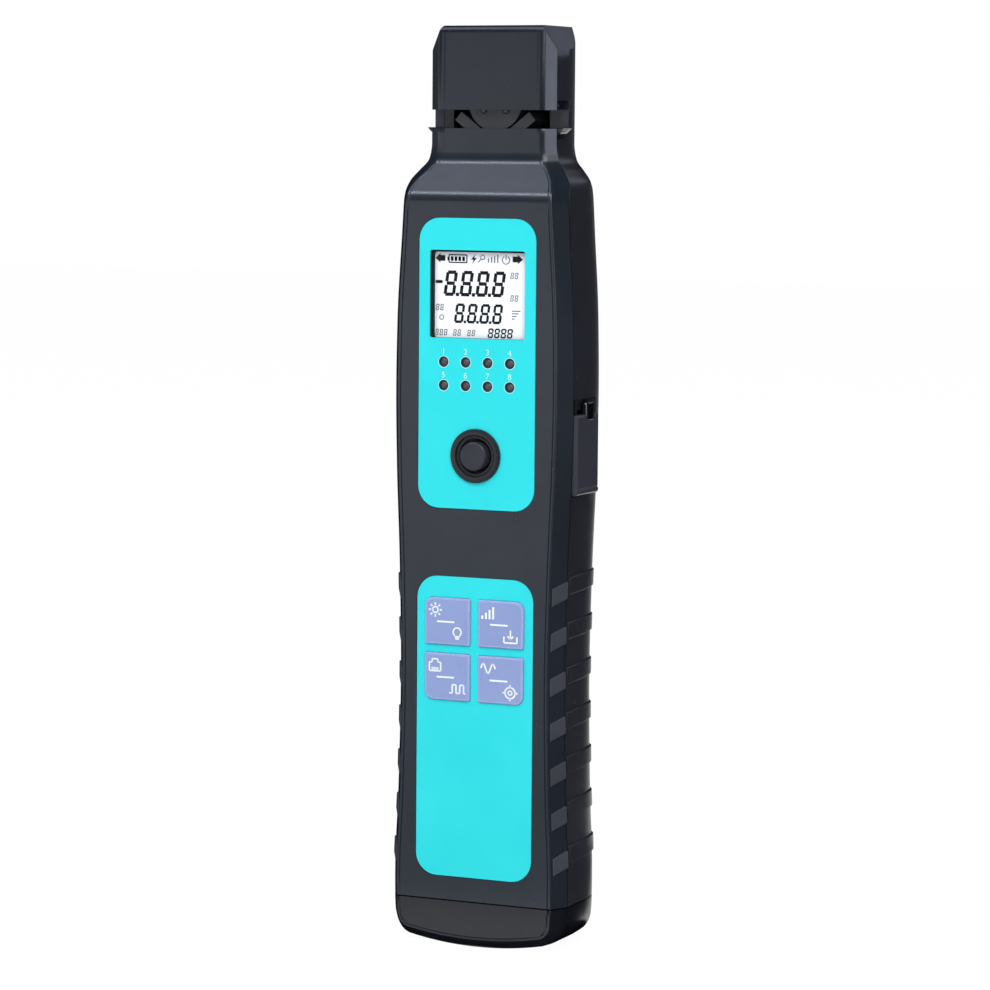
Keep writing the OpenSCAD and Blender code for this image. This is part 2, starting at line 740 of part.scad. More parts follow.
module display_pane() {
  color("#f4f5f7") plate_at(face_y + pane_sink, pane_t) window_outline(pane_ledge);
}

module display_module() {
  color("#d4d7da") plate_at(face_y + wall + lcd_gap, board_y - wall - lcd_gap) window_outline(lcd_border);
}

module indicator_lamps() {
  color("#27c24c") each_lamp() rod_y(lamp_r, face_y + lamp_clear, board_front);
}

module button_ring() {
  color("#1d1f22") translate([0, 0, button_z]) difference() {
    union() {
      rod_y(bezel_r, face_y - bezel_out, face_y + label_t);
      rod_y(sleeve_r, face_y, face_y + sleeve_end);
    }
    rod_y(button_r + button_gap, face_y - button_out, face_y + sleeve_end + over);
    rod_y(bezel_step_r, face_y - button_out, face_y - bezel_out / 2);
  }
}

module clamp_button() {
  y0 = face_y + sleeve_end + guide_gap;
  y1 = face_y + bar_front + bar_t;
  color("#2b2d31") {
    translate([0, 0, button_z]) {
      rod_y(button_r, face_y - button_out, y0 + flange_t);
      rod_y(flange_r, y0, y0 + flange_t);
      rod_y(stem_r, y0, stem_end);
    }
    translate([-ramp_w / 2, 0, 0]) rotate([90, 0, 90]) linear_extrude(ramp_w)
      polygon([
        [stem_end - over, bar_low - ramp_t], [y1, bar_low - ramp_t], [y1, bar_low - lamp_clear],
        [stem_end, bar_low - lamp_clear + (y1 - stem_end) * ramp_slope],
        [stem_end, button_z], [stem_end - over, button_z]
      ]);
  }
}

module key(sx, sz) {
  flange_y = face_y + wall + guide_gap;
  plate_at(face_y - key_out, wall + key_out + guide_gap + key_flange_t / 2) key_outline(sx, sz, 0);
  plate_at(flange_y, key_flange_t) key_outline(sx, sz, key_rim);
  translate([sx * key_pitch_x / 2, 0, keys_z + sz * key_pitch_z / 2])
    rod_y(key_peg_r, flange_y, board_front - switch_d - key_travel);
}
module laser_key() { color("#92a5dc") key(-1, 1); }
module save_key() { color("#92a5dc") key(1, 1); }
module cable_key() { color("#92a5dc") key(-1, -1); }
module wave_key() { color("#92a5dc") key(1, -1); }

module key_switches() {
  color("#2a2c30") for (sx = [-1, 1]) for (sz = [-1, 1])
    translate([sx * key_pitch_x / 2, 0, keys_z + sz * key_pitch_z / 2]) {
      plate_at(board_front - switch_d * base_share, switch_d * base_share)
        square(switch_w, center = true);
      rod_y(key_peg_r, board_front - switch_d + lamp_clear, board_front);
    }
}

// Clamp head.
module lift_bar() {
  y0 = face_y + bar_front;
  color("#b9bdc2") translate([-bar_w / 2, 0, 0]) rotate([90, 0, 90]) linear_extrude(bar_w)
    polygon([
      [y0, bar_low + bar_t * ramp_slope], [y0 + bar_t, bar_low],
      [y0 + bar_t, bar_high], [y0, bar_high]
    ]);
}

module bend_mandrel() {
  y0 = face_y + mandrel_front;
  y1 = face_y + mandrel_back;
  color("#33363b") difference() {
    union() {
      translate([0, 0, mandrel_z]) rod_y(mandrel_r, y0, y1);
      box([-mandrel_r * block_share, y0, mandrel_z], [mandrel_r * block_share, y1, mandrel_z + mandrel_top]);
    }
    box([-mandrel_r, y0 - over, mandrel_z + mandrel_top], [mandrel_r, y1 + over, mandrel_z + mandrel_r + over]);
    box([-bar_w / 2 - seat, face_y + bar_front - seat, mandrel_z - mandrel_r - over],
        [bar_w / 2 + seat, face_y + bar_front + bar_t + seat, bar_high + seat]);
    each_pin(pin_r + seat, over);
  }
}

module each_pin(r, extra) {
  for (s = [-1, 1]) translate([s * pin_x, 0, bar_high])
    rod_y(r, face_y + mandrel_front - extra, face_y + bar_front - guide_gap);
}

module mandrel_pins() {
  color("#c3c7cb") each_pin(pin_r, 0);
}

// Point number i of the press spring's wire line.
spring_low = mandrel_z + mandrel_top;
spring_rise = well_top - spring_low - 2 * wire_r - 2 * seat;
spring_steps = 8 * spring_curls;
function spring_point(i) =
  let (a = 360 * i / 8)
  [spring_r * cos(a), spring_mid + spring_r * sin(a),
   spring_low + seat + wire_r + spring_rise * i / spring_steps];
function spring_ring(i) =
  let (a = 360 * i / 8, c = spring_point(i))
  [for (k = [0:5]) let (b = 60 * k)
    c + [wire_r * cos(b) * cos(a), wire_r * cos(b) * sin(a), wire_r * sin(b)]];
// Least gap between curls that are at least half a turn apart.
spring_clear = min([for (i = [0:spring_steps - 1]) for (j = [i + 4:spring_steps])
  norm(spring_point(i) - spring_point(j))]) - 2 * wire_r;
echo(spring_gap = spring_clear);

module press_spring() {
  color("#d0d3d6") tube([for (i = [0:spring_steps]) spring_ring(i)]);
}

// Rings that run along a line, closed with flat ends.
module tube(rings) {
  n = len(rings[0]);
  m = len(rings);
  polyhedron(
    points = [for (ring = rings) for (p = ring) p],
    faces = concat(
      [for (j = [1:n - 2]) [0, j + 1, j]],
      [for (i = [0:m - 2]) for (j = [0:n - 1]) let (a = i * n + j, b = i * n + (j + 1) % n)
        for (f = [[a, b, b + n], [a, b + n, a + n]]) f],
      [for (j = [1:n - 2]) [(m - 1) * n, (m - 1) * n + j, (m - 1) * n + j + 1]]
    ),
    convexity = 10
  );
}

module guide_block() {
  y0 = face_y + mandrel_front;
  y1 = face_y + well_back;
  base = slot_z - guide_drop;
  deck = base + guide_t;
  x1 = well_half_w - guide_gap;
  color("#3a3d42") difference() {
    union() {
      box([-x1, y0, base], [x1, y1, deck]);
      for (s = [-1, 1]) {
        side_box(s, [x1 - guide_wall, y0, base], [x1, y1, slot_z - guide_gap / 2]);
        plate_at(y0, mandrel_back - mandrel_front) side_polygon(s, [
          [bar_half, deck - over], [bar_half, pad_height(bar_half, 0)],
          pad_point(pad_top, 0), pad_point(pad_top, pad_t), pad_place(slot_z, pad_t),
          [bar_half + guide_wall, deck - over]
        ]);
        plate_at(y0, slot_back - mandrel_front - guide_gap) side_polygon(s, [
          [x1 - guide_wall, slot_z - lip_h - lip_slope], [x1, slot_z - lip_h - lip_slope],
          [lip_x - lip_out * lip_lean, slot_z - lip_h], [lip_x, slot_z - guide_gap / 2],
          [x1 - guide_wall, slot_z - guide_gap / 2]
        ]);
      }
    }
    box([-bar_half, face_y + bar_front - 2 * guide_gap, base - over],
        [bar_half, face_y + bar_front + bar_t + 2 * guide_gap, slot_z]);
    each_detector(detector_r + seat, over);
  }
}

// A place on the slope of a guide pad, at height z and depth d below its upper face.
function pad_place(z, d) =
  [(mandrel_r + pad_gap + d + (z - mandrel_z) * cos(pad_angle)) / sin(pad_angle), z];
function pad_point(z, d) = pad_place(z, 0) + d * [sin(pad_angle), -cos(pad_angle)];
function pad_height(x, d) = mandrel_z + (x * sin(pad_angle) - mandrel_r - pad_gap - d) / cos(pad_angle);

// A rod set square to the slope of each pad.
module each_detector(r, extra) {
  for (s = [-1, 1]) for (y = detector_rows) {
    p = pad_place(slot_z + pad_rise / 2, detector_sink);
    translate([s * p[0], y, p[1]]) rotate([0, -s * pad_angle, 0])
      translate([0, 0, -detector_l]) cylinder(r = r, h = detector_l + extra);
  }
}

module detector_cans() {
  color("#c9b37a") each_detector(detector_r, 0);
}

// Inside and sides.
module main_board() {
  w = grip_share * body_half_w - wall - board_clear;
  color("#1f6b45") difference() {
    box([-w, board_front, board_z], [w, board_back, board_top]);
    box([-flange_r - 2 * guide_gap, board_front - over, button_z - flange_r - 2 * guide_gap],
        [flange_r + 2 * guide_gap, board_back + over, button_z + flange_r + wall]);
    each_post() rod_y(screw_r + guide_gap, board_front - over, board_back + over);
  }
}

module network_socket() {
  color("#c8cbd0") difference() {
    box([jack_end - jack_l, board_back, jack_z], [jack_end, board_back + jack_d, jack_z + jack_w]);
    box([jack_end - jack_l + rim, face_y + mouth_y, jack_z + (jack_w - jack_mouth_w) / 2],
        [jack_end + over, face_y + mouth_y + jack_mouth_d, jack_z + (jack_w + jack_mouth_w) / 2]);
  }
}

module charge_socket() {
  color("#b9bdc2") difference() {
    box([jack_end - charge_l, board_back, charge_z], [jack_end, board_back + charge_d, charge_z + charge_h]);
    box([jack_end - charge_l + rim, board_back + charge_wall, charge_z + charge_wall],
        [jack_end + over, board_back + charge_d - charge_wall, charge_z + charge_h - charge_wall]);
  }
}

module port_cover() {
  x0 = cover_x - cover_t;
  y0 = face_y + cover_front;
  y1 = face_y + cover_back;
  z1 = cover_z + cover_h;
  color("#1c1d20") {
    box([x0, y0, cover_z + cover_t / 2], [cover_x, y1, z1]);
    translate([x0 + cover_t / 2, 0, cover_z + cover_t / 2]) rod_y(cover_t / 2, y0, y1);
    box([cover_x + cover_gap - tab_t, y1 - tab_w - tab_t, z1 - tab_t],
        [cover_x + cover_gap, y1 - tab_t, z1 - tab_t + tab_h]);
  }
}

module battery() {
  color("#3e6fb0") box([-battery_w / 2, back_y - wall - battery_t, battery_z],
                       [battery_w / 2, back_y - wall, battery_z + battery_l]);
}

module sounder() {
  color("#26282b") translate([-sounder_x, 0, sounder_z]) difference() {
    rod_y(sounder_r, board_back, board_back + sounder_h);
    rod_y(sounder_r * hole_share, board_back + sounder_h / 2, board_back + sounder_h + over);
  }
}

module laser_module() {
  color("#b08d4f") translate([-port_x, mid_y, cap_top]) {
    cylinder(r = laser_r, h = laser_l * barrel_share);
    cylinder(r = laser_r * neck_share, h = laser_l);
  }
}

// A sleeve with a ferrule bore that opens downward.
module sleeve(x, r, z0) {
  translate([x, mid_y, 0]) difference() {
    translate([0, 0, z0]) cylinder(r = r, h = cap_top - z0);
    translate([0, 0, z0 - over]) cylinder(r = ferrule_r, h = ferrule_l + over);
  }
}
module laser_port() { color("#b9bdc2") sleeve(-port_x, laser_port_r, arc_at(port_x + laser_port_r)); }
module meter_port() { color("#b9bdc2") sleeve(0, meter_port_r, arc_at(meter_port_r)); }

module torch_lamp() {
  color("#e9ecef") translate([port_x, mid_y, arc_at(port_x + torch_r)]) {
    cylinder(r = torch_r, h = cap_top - arc_at(port_x + torch_r));
  }
}

module case_screws() {
  color("#8d9196") each_post() {
    difference() {
      rod_y(screw_head_r, screw_seat, screw_seat + wall);
      plate_at(screw_seat + wall / 2, wall) {
        square([screw_r / 2, 2 * screw_r], center = true);
        square([2 * screw_r, screw_r / 2], center = true);
      }
    }
    rod_y(screw_r, screw_tip + seat, screw_seat);
  }
}

front_shell();
rear_shell();
head_cover();
end_cap();
upper_label();
lower_label();
display_pane();
display_module();
indicator_lamps();
button_ring();
clamp_button();
lift_bar();
bend_mandrel();
mandrel_pins();
press_spring();
guide_block();
detector_cans();
laser_key();
save_key();
cable_key();
wave_key();
key_switches();
main_board();
network_socket();
charge_socket();
port_cover();
battery();
sounder();
laser_module();
laser_port();
meter_port();
torch_lamp();
case_screws();
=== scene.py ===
"""Looks of a hand-held optical fibre identifier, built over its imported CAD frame.

The case stands along +Z with its display towards -Y and its socket cover on the +X side.
Sizes are in millimetres, which at() turns into the frame's metres. Studio places are in metres.
"""

import logging
import math
from collections.abc import Callable, Iterable, Sequence
from dataclasses import dataclass
from enum import Enum
from functools import partial

import bmesh
import bpy
from mathutils import Matrix, Vector


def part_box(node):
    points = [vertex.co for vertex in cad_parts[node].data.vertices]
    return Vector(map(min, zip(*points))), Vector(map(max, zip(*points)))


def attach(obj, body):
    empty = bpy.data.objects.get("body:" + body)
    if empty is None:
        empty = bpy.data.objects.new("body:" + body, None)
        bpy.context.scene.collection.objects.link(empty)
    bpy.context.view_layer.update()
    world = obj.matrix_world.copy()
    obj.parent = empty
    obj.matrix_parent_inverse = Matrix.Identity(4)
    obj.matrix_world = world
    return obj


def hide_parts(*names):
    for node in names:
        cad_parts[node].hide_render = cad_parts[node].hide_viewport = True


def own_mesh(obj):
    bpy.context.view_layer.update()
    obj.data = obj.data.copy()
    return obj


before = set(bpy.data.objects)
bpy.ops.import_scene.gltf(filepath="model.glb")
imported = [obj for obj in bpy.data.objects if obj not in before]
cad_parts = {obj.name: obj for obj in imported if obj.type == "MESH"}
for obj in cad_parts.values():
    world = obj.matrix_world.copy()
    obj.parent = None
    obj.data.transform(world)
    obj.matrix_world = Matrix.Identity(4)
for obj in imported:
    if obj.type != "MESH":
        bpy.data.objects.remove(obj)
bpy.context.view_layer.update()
LOG = logging.getLogger("identifier")

MM = 0.001
# Places closer than this, in metres, are one vertex.
MERGE = 1e-7
BACKWARD, UPWARD = Vector((0, 1, 0)), Vector((0, 0, 1))

Point = tuple[float, float]
Sizes = tuple[float, ...]
BMesh = bmesh.types.BMesh
Edge = bmesh.types.BMEdge
Vert = bmesh.types.BMVert
Material = bpy.types.Material
Node = bpy.types.Node
Skin = dict[str, Material]
Adder = Callable[..., Node]
Socket = bpy.types.NodeSocket
Tree = bpy.types.NodeTree


# Colour and nodes


def srgb(code: str) -> tuple[float, float, float, float]:
    """Turn an sRGB hex colour into the linear colour that shaders read.

    Args:
        code: Six hex digits, with or without a leading hash.

    Returns:
        Linear red, green and blue, and an alpha of 1.
    """
    values = [int(code.lstrip("#")[i:i + 2], 16) / 255 for i in (0, 2, 4)]
    linear = [v / 12.92 if v <= 0.04045 else ((v + 0.055) / 1.055) ** 2.4 for v in values]
    return (linear[0], linear[1], linear[2], 1.0)


def add_node(tree: Tree, kind: str, settings: dict[str, object] | None = None, **sockets: object) -> Node:
    """Add one shader node with its settings and links.

    Args:
        tree: The material's node tree.
        kind: Blender's name of the node type, without the "ShaderNode" before it.
        settings: Attributes of the node, such as a blend mode. "stops" stands for the places and
            hex colours of a colour ramp.
        sockets: Values of the inputs, or the socket or node that each is linked to. A node stands
            for its first output. A name's underscores stand for spaces, and a name that starts
            with "i" and a number is the input of that number.

    Returns:
        The new node.
    """
    node = tree.nodes.new(f"ShaderNode{kind}")
    settings = dict(settings or {})
    stops = settings.pop("stops", ())
    for key, value in settings.items():
        setattr(node, key, value)
    while stops and len(node.color_ramp.elements) < len(stops):
        node.color_ramp.elements.new(1.0)
    for element, (place, code) in zip(node.color_ramp.elements if stops else (), stops):
        element.position = place
        element.color = srgb(code)
    for key, value in sockets.items():
        numbered = key[0] == "i" and key[1:].isdigit()
        slot = node.inputs[int(key[1:]) if numbered else key.replace("_", " ")]
        if isinstance(value, Node):
            value = value.outputs[0]
        if isinstance(value, Socket):
            tree.links.new(value, slot)
        else:
            slot.default_value = value
    return node


def blank_material(name: str) -> tuple[Material, Adder]:
    """Make an empty node material.

    Args:
        name: Name of the material.

    Returns:
        The material, and add_node for its tree.
    """
    material = bpy.data.materials.new(name)
    material.use_nodes = True
    material.node_tree.nodes.clear()
    return material, partial(add_node, material.node_tree)


# Finishes


@dataclass(frozen=True)
class Finish:
    """What all finishes share: a name, and a shader that each builds in its own way."""

    name: str

    def shader(self, add: Adder, place: Socket) -> Node:
        """Build the shader, with the adder of its nodes and the object coordinates."""
        raise NotImplementedError

    def build(self) -> Material:
        """Build the material.

        Returns:
            The material.
        """
        material, add = blank_material(self.name)
        place = add("TexCoord").outputs["Object"]
        add("OutputMaterial", Surface=self.shader(add, place))
        return material


@dataclass(frozen=True)
class MouldedPlastic(Finish):
    """Injection moulded ABS with a spark-eroded texture.

    It gives the eye a near-black plastic with a fine even grain that softens its highlights,
    slight clouding, and faint polish where hands rub it.
    """

    body: str
    cloud: str
    roughness: float = 0.42
    grain_mm: float = 0.35
    grain_depth_mm: float = 0.012
    cloud_mm: float = 26.0
    specular: float = 0.12
    rub_mm: float = 9.0

    def shader(self, add: Adder, place: Socket) -> Node:
        """Build the plastic's nodes.

        Args:
            add: Adds a node to the material.
            place: Object coordinates.

        Returns:
            The shader node.
        """
        cloud = add("TexNoise", Vector=place, Scale=1 / (self.cloud_mm * MM), Detail=3.0, Roughness=0.55)
        colour = add("ValToRGB", {"stops": ((0.3, self.body), (0.72, self.cloud))}, Fac=cloud)
        # The grain of the mould, about a third of a millimetre across.
        grain = add("TexNoise", Vector=place, Scale=1 / (self.grain_mm * MM), Detail=2.0, Roughness=0.6)
        pits = add("TexVoronoi", Vector=place, Scale=0.6 / (self.grain_mm * MM))
        relief = add("Math", {"operation": "MULTIPLY"}, i0=grain, i1=pits)
        bump = add("Bump", Height=relief, Strength=0.55, Distance=self.grain_depth_mm * MM)
        rub = add("TexNoise", Vector=place, Scale=1 / (self.rub_mm * MM), Detail=5.0, Roughness=0.7)
        rough = add("MapRange", Value=rub, To_Min=self.roughness - 0.07, To_Max=self.roughness + 0.08)
        return add("BsdfPrincipled", Base_Color=colour, Roughness=rough, Normal=bump,
                   IOR=1.52, Specular_IOR_Level=self.specular)


@dataclass(frozen=True)
class PrintedFilm(Finish):
    """Polycarbonate overlay printed on its back.

    It gives the eye a flat bright colour under a thin satin skin, with a very faint
    velvet grain and the slightest unevenness of the ink.
    """

    ink: str
    thin_ink: str
    roughness: float = 0.34
    velvet_mm: float = 0.22
    flow_mm: float = 18.0

    def shader(self, add: Adder, place: Socket) -> Node:
        """Build the film's nodes.

        Args:
            add: Adds a node to the material.
            place: Object coordinates.

        Returns:
            The shader node.
        """
        flow = add("TexNoise", Vector=place, Scale=1 / (self.flow_mm * MM), Detail=4.0, Roughness=0.5)
        colour = add("ValToRGB", {"stops": ((0.32, self.ink), (0.75, self.thin_ink))}, Fac=flow)
        velvet = add("TexNoise", Vector=place, Scale=1 / (self.velvet_mm * MM), Detail=1.0)
        bump = add("Bump", Height=velvet, Strength=0.25, Distance=0.006 * MM)
        rough = add("MapRange", Value=flow, To_Min=self.roughness - 0.03, To_Max=self.roughness + 0.05)
        return add("BsdfPrincipled", Base_Color=colour, Roughness=rough, Normal=bump,
                   IOR=1.58, Specular_IOR_Level=0.12, Coat_Weight=0.05, Coat_Roughness=0.22)


@dataclass(frozen=True)
class SatinRubber(Finish):
    """Compression moulded silicone rubber.

    It gives the eye a soft waxy surface with a wide weak highlight, a painted pale sheen
    along grazing edges and tiny dust-like specks.
    """

    body: str
    pale_tone_and_edge_sheen: str
    roughness: float = 0.48
    glow: float = 0.15
    speck_mm: float = 0.3
    specular: float = 0.12

    def shader(self, add: Adder, place: Socket) -> Node:
        """Build the rubber's nodes.

        Args:
            add: Adds a node to the material.
            place: Object coordinates.

        Returns:
            The shader node.
        """
        # Painted sheen: the colour turns to the paler tone where the surface faces away from the eye,
        # standing in for light along grazing edges.
        edge = add("LayerWeight", Blend=0.35)
        speck = add("TexNoise", Vector=place, Scale=1 / (self.speck_mm * MM), Detail=2.0, Roughness=0.7)
        mottle = add("ValToRGB", {"stops": ((0.35, self.body), (0.8, self.pale_tone_and_edge_sheen))}, Fac=speck)
        blend = add("Mix", {"data_type": "RGBA"}, i0=edge.outputs["Facing"], i6=mottle, i7=srgb(self.pale_tone_and_edge_sheen))
        bump = add("Bump", Height=speck, Strength=0.1, Distance=0.008 * MM)
        rough = add("MapRange", Value=speck, To_Min=self.roughness - 0.05, To_Max=self.roughness + 0.07)
        return add("BsdfPrincipled", Base_Color=blend.outputs["Result"], Roughness=rough,
                   Normal=bump, IOR=1.43, Specular_IOR_Level=self.specular,
                   Subsurface_Weight=self.glow, Subsurface_Scale=1.2 * MM, Sheen_Weight=0.02,
                   Sheen_Roughness=0.5)


@dataclass(frozen=True)
class DrawnMetal(Finish):
    """Drawn or turned metal with fine tool lines.

    It gives the eye a bright metal whose highlight is pulled across hair-fine lines that
    run round or along the piece, with slight smudging.
    """

    bright: str
    dull: str
    along: Vector
    line_mm: float = 0.08
    roughness: float = 0.28
    stretch: float = 40.0
    smudge_mm: float = 4.0

    def shader(self, add: Adder, place: Socket) -> Node:
        """Build the metal's nodes.

        Args:
            add: Adds a node to the material.
            place: Object coordinates.

        Returns:
            The shader node.
        """
        across = 1 / (self.line_mm * MM)
        scale = Vector([across / self.stretch if a else across for a in self.along])
        lines_at = add("Mapping", Vector=place, Scale=scale)
        lines = add("TexNoise", Vector=lines_at, Scale=1.0, Detail=3.0, Roughness=0.65)
        smudge = add("TexNoise", Vector=place, Scale=1 / (self.smudge_mm * MM), Detail=4.0, Roughness=0.6)
        colour = add("ValToRGB", {"stops": ((0.3, self.dull), (0.7, self.bright))}, Fac=smudge)
        rough = add("MapRange", Value=lines, To_Min=self.roughness - 0.08, To_Max=self.roughness + 0.14)
        bump = add("Bump", Height=lines, Strength=0.3, Distance=0.004 * MM)
        return add("BsdfPrincipled", Base_Color=colour, Metallic=1.0, Roughness=rough, Normal=bump)


@dataclass(frozen=True)
class DisplayGlass(Finish):
    """Reflective liquid crystal glass behind a hard clear window.

    It gives the eye a cool near-white panel with painted shade that greys it towards its edges,
    under a sharp clear reflection.
    """

    panel: str
    painted_edge_shade: str
    centre: Vector
    half: Vector
    grain_mm: float = 0.5

    def shader(self, add: Adder, place: Socket) -> Node:
        """Build the panel's nodes.

        Args:
            add: Adds a node to the material.
            place: Object coordinates.

        Returns:
            The shader node.
        """
        local = add("Mapping", {"vector_type": "POINT"}, Vector=place,
                    Location=Vector([-c / h for c, h in zip(self.centre, self.half)]),
                    Scale=Vector([1 / h for h in self.half]))
        parts = add("SeparateXYZ", Vector=local)
        x = add("Math", {"operation": "ABSOLUTE"}, i0=parts.outputs["X"])
        z = add("Math", {"operation": "ABSOLUTE"}, i0=parts.outputs["Z"])
        # Painted shade: the panel greys towards its edges, where the recess shades it.
        rim = add("Math", {"operation": "MAXIMUM"}, i0=x, i1=z)
        grain = add("TexNoise", Vector=place, Scale=1 / (self.grain_mm * MM), Detail=2.0)
        soft = add("Math", {"operation": "MULTIPLY_ADD"}, i0=grain, i1=0.03, i2=rim)
        colour = add("ValToRGB", {"stops": ((0.84, self.panel), (1.0, self.painted_edge_shade))}, Fac=soft)
        return add("BsdfPrincipled", Base_Color=colour, Roughness=0.5, IOR=1.5,
                   Specular_IOR_Level=0.2, Coat_Weight=0.2, Coat_Roughness=0.05)


@dataclass(frozen=True)
class ClearWindow(Finish):
    """Hard-coated acrylic window.

    It gives the eye a nearly invisible sheet with a faint cool cast and a few hairline
    scratches that catch the light.
    """

    cast: str
    scratch_mm: float = 0.25
    stretch: float = 60.0
    veil: float = 0.01

    def shader(self, add: Adder, place: Socket) -> Node:
        """Build the window's nodes.

        Args:
            add: Adds a node to the material.
            place: Object coordinates.

        Returns:
            The shader node.
        """
        lines_at = add("Mapping", Vector=place, Rotation=Vector((0, 0.5, 0)),
                       Scale=Vector((1, 1, 1 / self.stretch)) / (self.scratch_mm * MM))
        lines = add("TexNoise", Vector=lines_at, Scale=1.0, Detail=2.0)
        rough = add("MapRange", Value=lines, To_Min=0.03, To_Max=0.12)
        return add("BsdfPrincipled", Base_Color=srgb(self.cast), Roughness=rough, IOR=1.49, Alpha=self.veil)


@dataclass(frozen=True)
class FlatInk(Finish):
    """Screen printed or liquid crystal ink.

    It gives the eye a dense matt mark whose edge is slightly uneven.
    """

    ink: str
    worn: str
    roughness: float = 0.55
    specular: float = 0.2
    wear_mm: float = 0.6

    def shader(self, add: Adder, place: Socket) -> Node:
        """Build the ink's nodes.

        Args:
            add: Adds a node to the material.
            place: Object coordinates.

        Returns:
            The shader node.
        """
        thin = add("TexNoise", Vector=place, Scale=1 / (self.wear_mm * MM), Detail=4.0, Roughness=0.6)
        colour = add("ValToRGB", {"stops": ((0.4, self.ink), (0.85, self.worn))}, Fac=thin)
        rough = add("MapRange", Value=thin, To_Min=self.roughness - 0.05, To_Max=self.roughness + 0.05)
        return add("BsdfPrincipled", Base_Color=colour, Roughness=rough, IOR=1.5,
                   Specular_IOR_Level=self.specular)


@dataclass(frozen=True)
class TintedResin(Finish):
    """Cast epoxy lens over a small lamp.

    It gives the eye a dark glassy bead with a soft inner glow of its tint and a pin-sharp
    highlight.
    """

    depth: str
    glint: str
    clear: float = 0.0
    haze_mm: float = 0.9

    def shader(self, add: Adder, place: Socket) -> Node:
        """Build the resin's nodes.

        Args:
            add: Adds a node to the material.
            place: Object coordinates.

        Returns:
            The shader node.
        """
        haze = add("TexNoise", Vector=place, Scale=1 / (self.haze_mm * MM), Detail=3.0)
        colour = add("ValToRGB", {"stops": ((0.35, self.depth), (0.75, self.glint))}, Fac=haze)
        rough = add("MapRange", Value=haze, To_Min=0.08, To_Max=0.2)
        return add("BsdfPrincipled", Base_Color=colour, Roughness=rough, IOR=1.54,
                   Specular_IOR_Level=0.3, Transmission_Weight=self.clear, Coat_Weight=0.05,
                   Coat_Roughness=0.05)


@dataclass(frozen=True)
class SolderMask(Finish):
    """Glass-fibre circuit board under green solder mask.

    It gives the eye a glossy green sheet with paler copper runs a third of a millimetre
    wide under the lacquer.
    """

    ground: str
    copper: str
    cell_mm: float = 2.6

    def shader(self, add: Adder, place: Socket) -> Node:
        """Build the board's nodes.

        Args:
            add: Adds a node to the material.
            place: Object coordinates.

        Returns:
            The shader node.
        """
        cells = add("TexVoronoi", {"distance": "MANHATTAN", "feature": "F1"}, Vector=place,
                    Scale=1 / (self.cell_mm * MM))
        stops = ((0.36, self.ground), (0.4, self.copper), (0.5, self.ground))
        colour = add("ValToRGB", {"stops": stops}, Fac=cells)
        bump = add("Bump", Height=cells, Strength=0.2, Distance=0.02 * MM)
        rough = add("MapRange", Value=cells, To_Min=0.22, To_Max=0.36)
        return add("BsdfPrincipled", Base_Color=colour, Roughness=rough, Normal=bump,
                   IOR=1.52, Coat_Weight=0.3)


# Modelling


FACE_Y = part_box("upper_label")[0][1]
SIDES = (-1, 1)


class Corner(Enum):
    """Corner of a plate or a group, as its sideways and upward signs."""

    LOWER_LEFT = (-1, -1)
    LOWER_RIGHT = (1, -1)
    UPPER_RIGHT = (1, 1)
    UPPER_LEFT = (-1, 1)


def at(x: float, depth: float, z: float) -> Vector:
    """Place right of the middle plane, behind the label face and above the cap's foot, in metres."""
    return Vector((x * MM, FACE_Y + depth * MM, z * MM))


def eased(stations: Sequence[Point], z: float) -> float:
    """Follow stations with a smooth curve that never overshoots them.

    Args:
        stations: Height and value pairs, lowest first.
        z: Height to read.

    Returns:
        The value at that height.
    """
    if z <= stations[0][0]:
        return stations[0][1]
    if z >= stations[-1][0]:
        return stations[-1][1]
    slopes = [(b[1] - a[1]) / (b[0] - a[0]) for a, b in zip(stations, stations[1:])]
    inner = [0.0 if p * q <= 0 else 2 * p * q / (p + q) for p, q in zip(slopes, slopes[1:])]
    tangents = [slopes[0], *inner, slopes[-1]]
    i = next(k for k in range(len(slopes)) if z <= stations[k + 1][0])
    (z0, v0), (z1, v1) = stations[i], stations[i + 1]
    span = z1 - z0
    t = (z - z0) / span
    return ((2 * t ** 3 - 3 * t ** 2 + 1) * v0 + (t ** 3 - 2 * t ** 2 + t) * span * tangents[i]
            + (3 * t ** 2 - 2 * t ** 3) * v1 + (t ** 3 - t ** 2) * span * tangents[i + 1])


def arc_corner(before: Point, corner: Point, after: Point, radius: float, steps: int = 4) -> list[Point]:
    """Round one corner of an outline.

    Args:
        before: The outline's point before the corner.
        corner: The sharp corner.
        after: The outline's point after the corner.
        radius: Radius of the round.
        steps: Number of straight pieces in the round.

    Returns:
        Points of the round, in order.
    """
    c = Vector(corner)
    p = (Vector(before) - c).normalized()
    q = (Vector(after) - c).normalized()
    half = p.angle(q) / 2
    reach = radius / math.tan(half)
    centre = c + (p + q).normalized() * (radius / math.sin(half))
    start, end = c + p * reach - centre, c + q * reach - centre
    total = start.angle_signed(end)
    return [tuple(centre + Matrix.Rotation(-total * k / steps, 2) @ start) for k in range(steps + 1)]


def new_loop(bm: BMesh, points: Sequence[Vector], closed: bool = True) -> list[Edge]:
    """Add a line of vertices and edges.

    Args:
        bm: The mesh that takes it.
        points: Places that it runs through.
        closed: Whether it ends where it starts.

    Returns:
        The edges.
    """
    verts = [bm.verts.new(p) for p in points]
    pairs = list(zip(verts, verts[1:])) + ([(verts[-1], verts[0])] if closed else [])
    return [bm.edges.new(pair) for pair in pairs]


def moved(bm: BMesh, geom: Iterable[object], way: Vector) -> None:
    """Move the vertices of some geometry."""
    bmesh.ops.translate(bm, verts=[g for g in geom if isinstance(g, Vert)], vec=way)


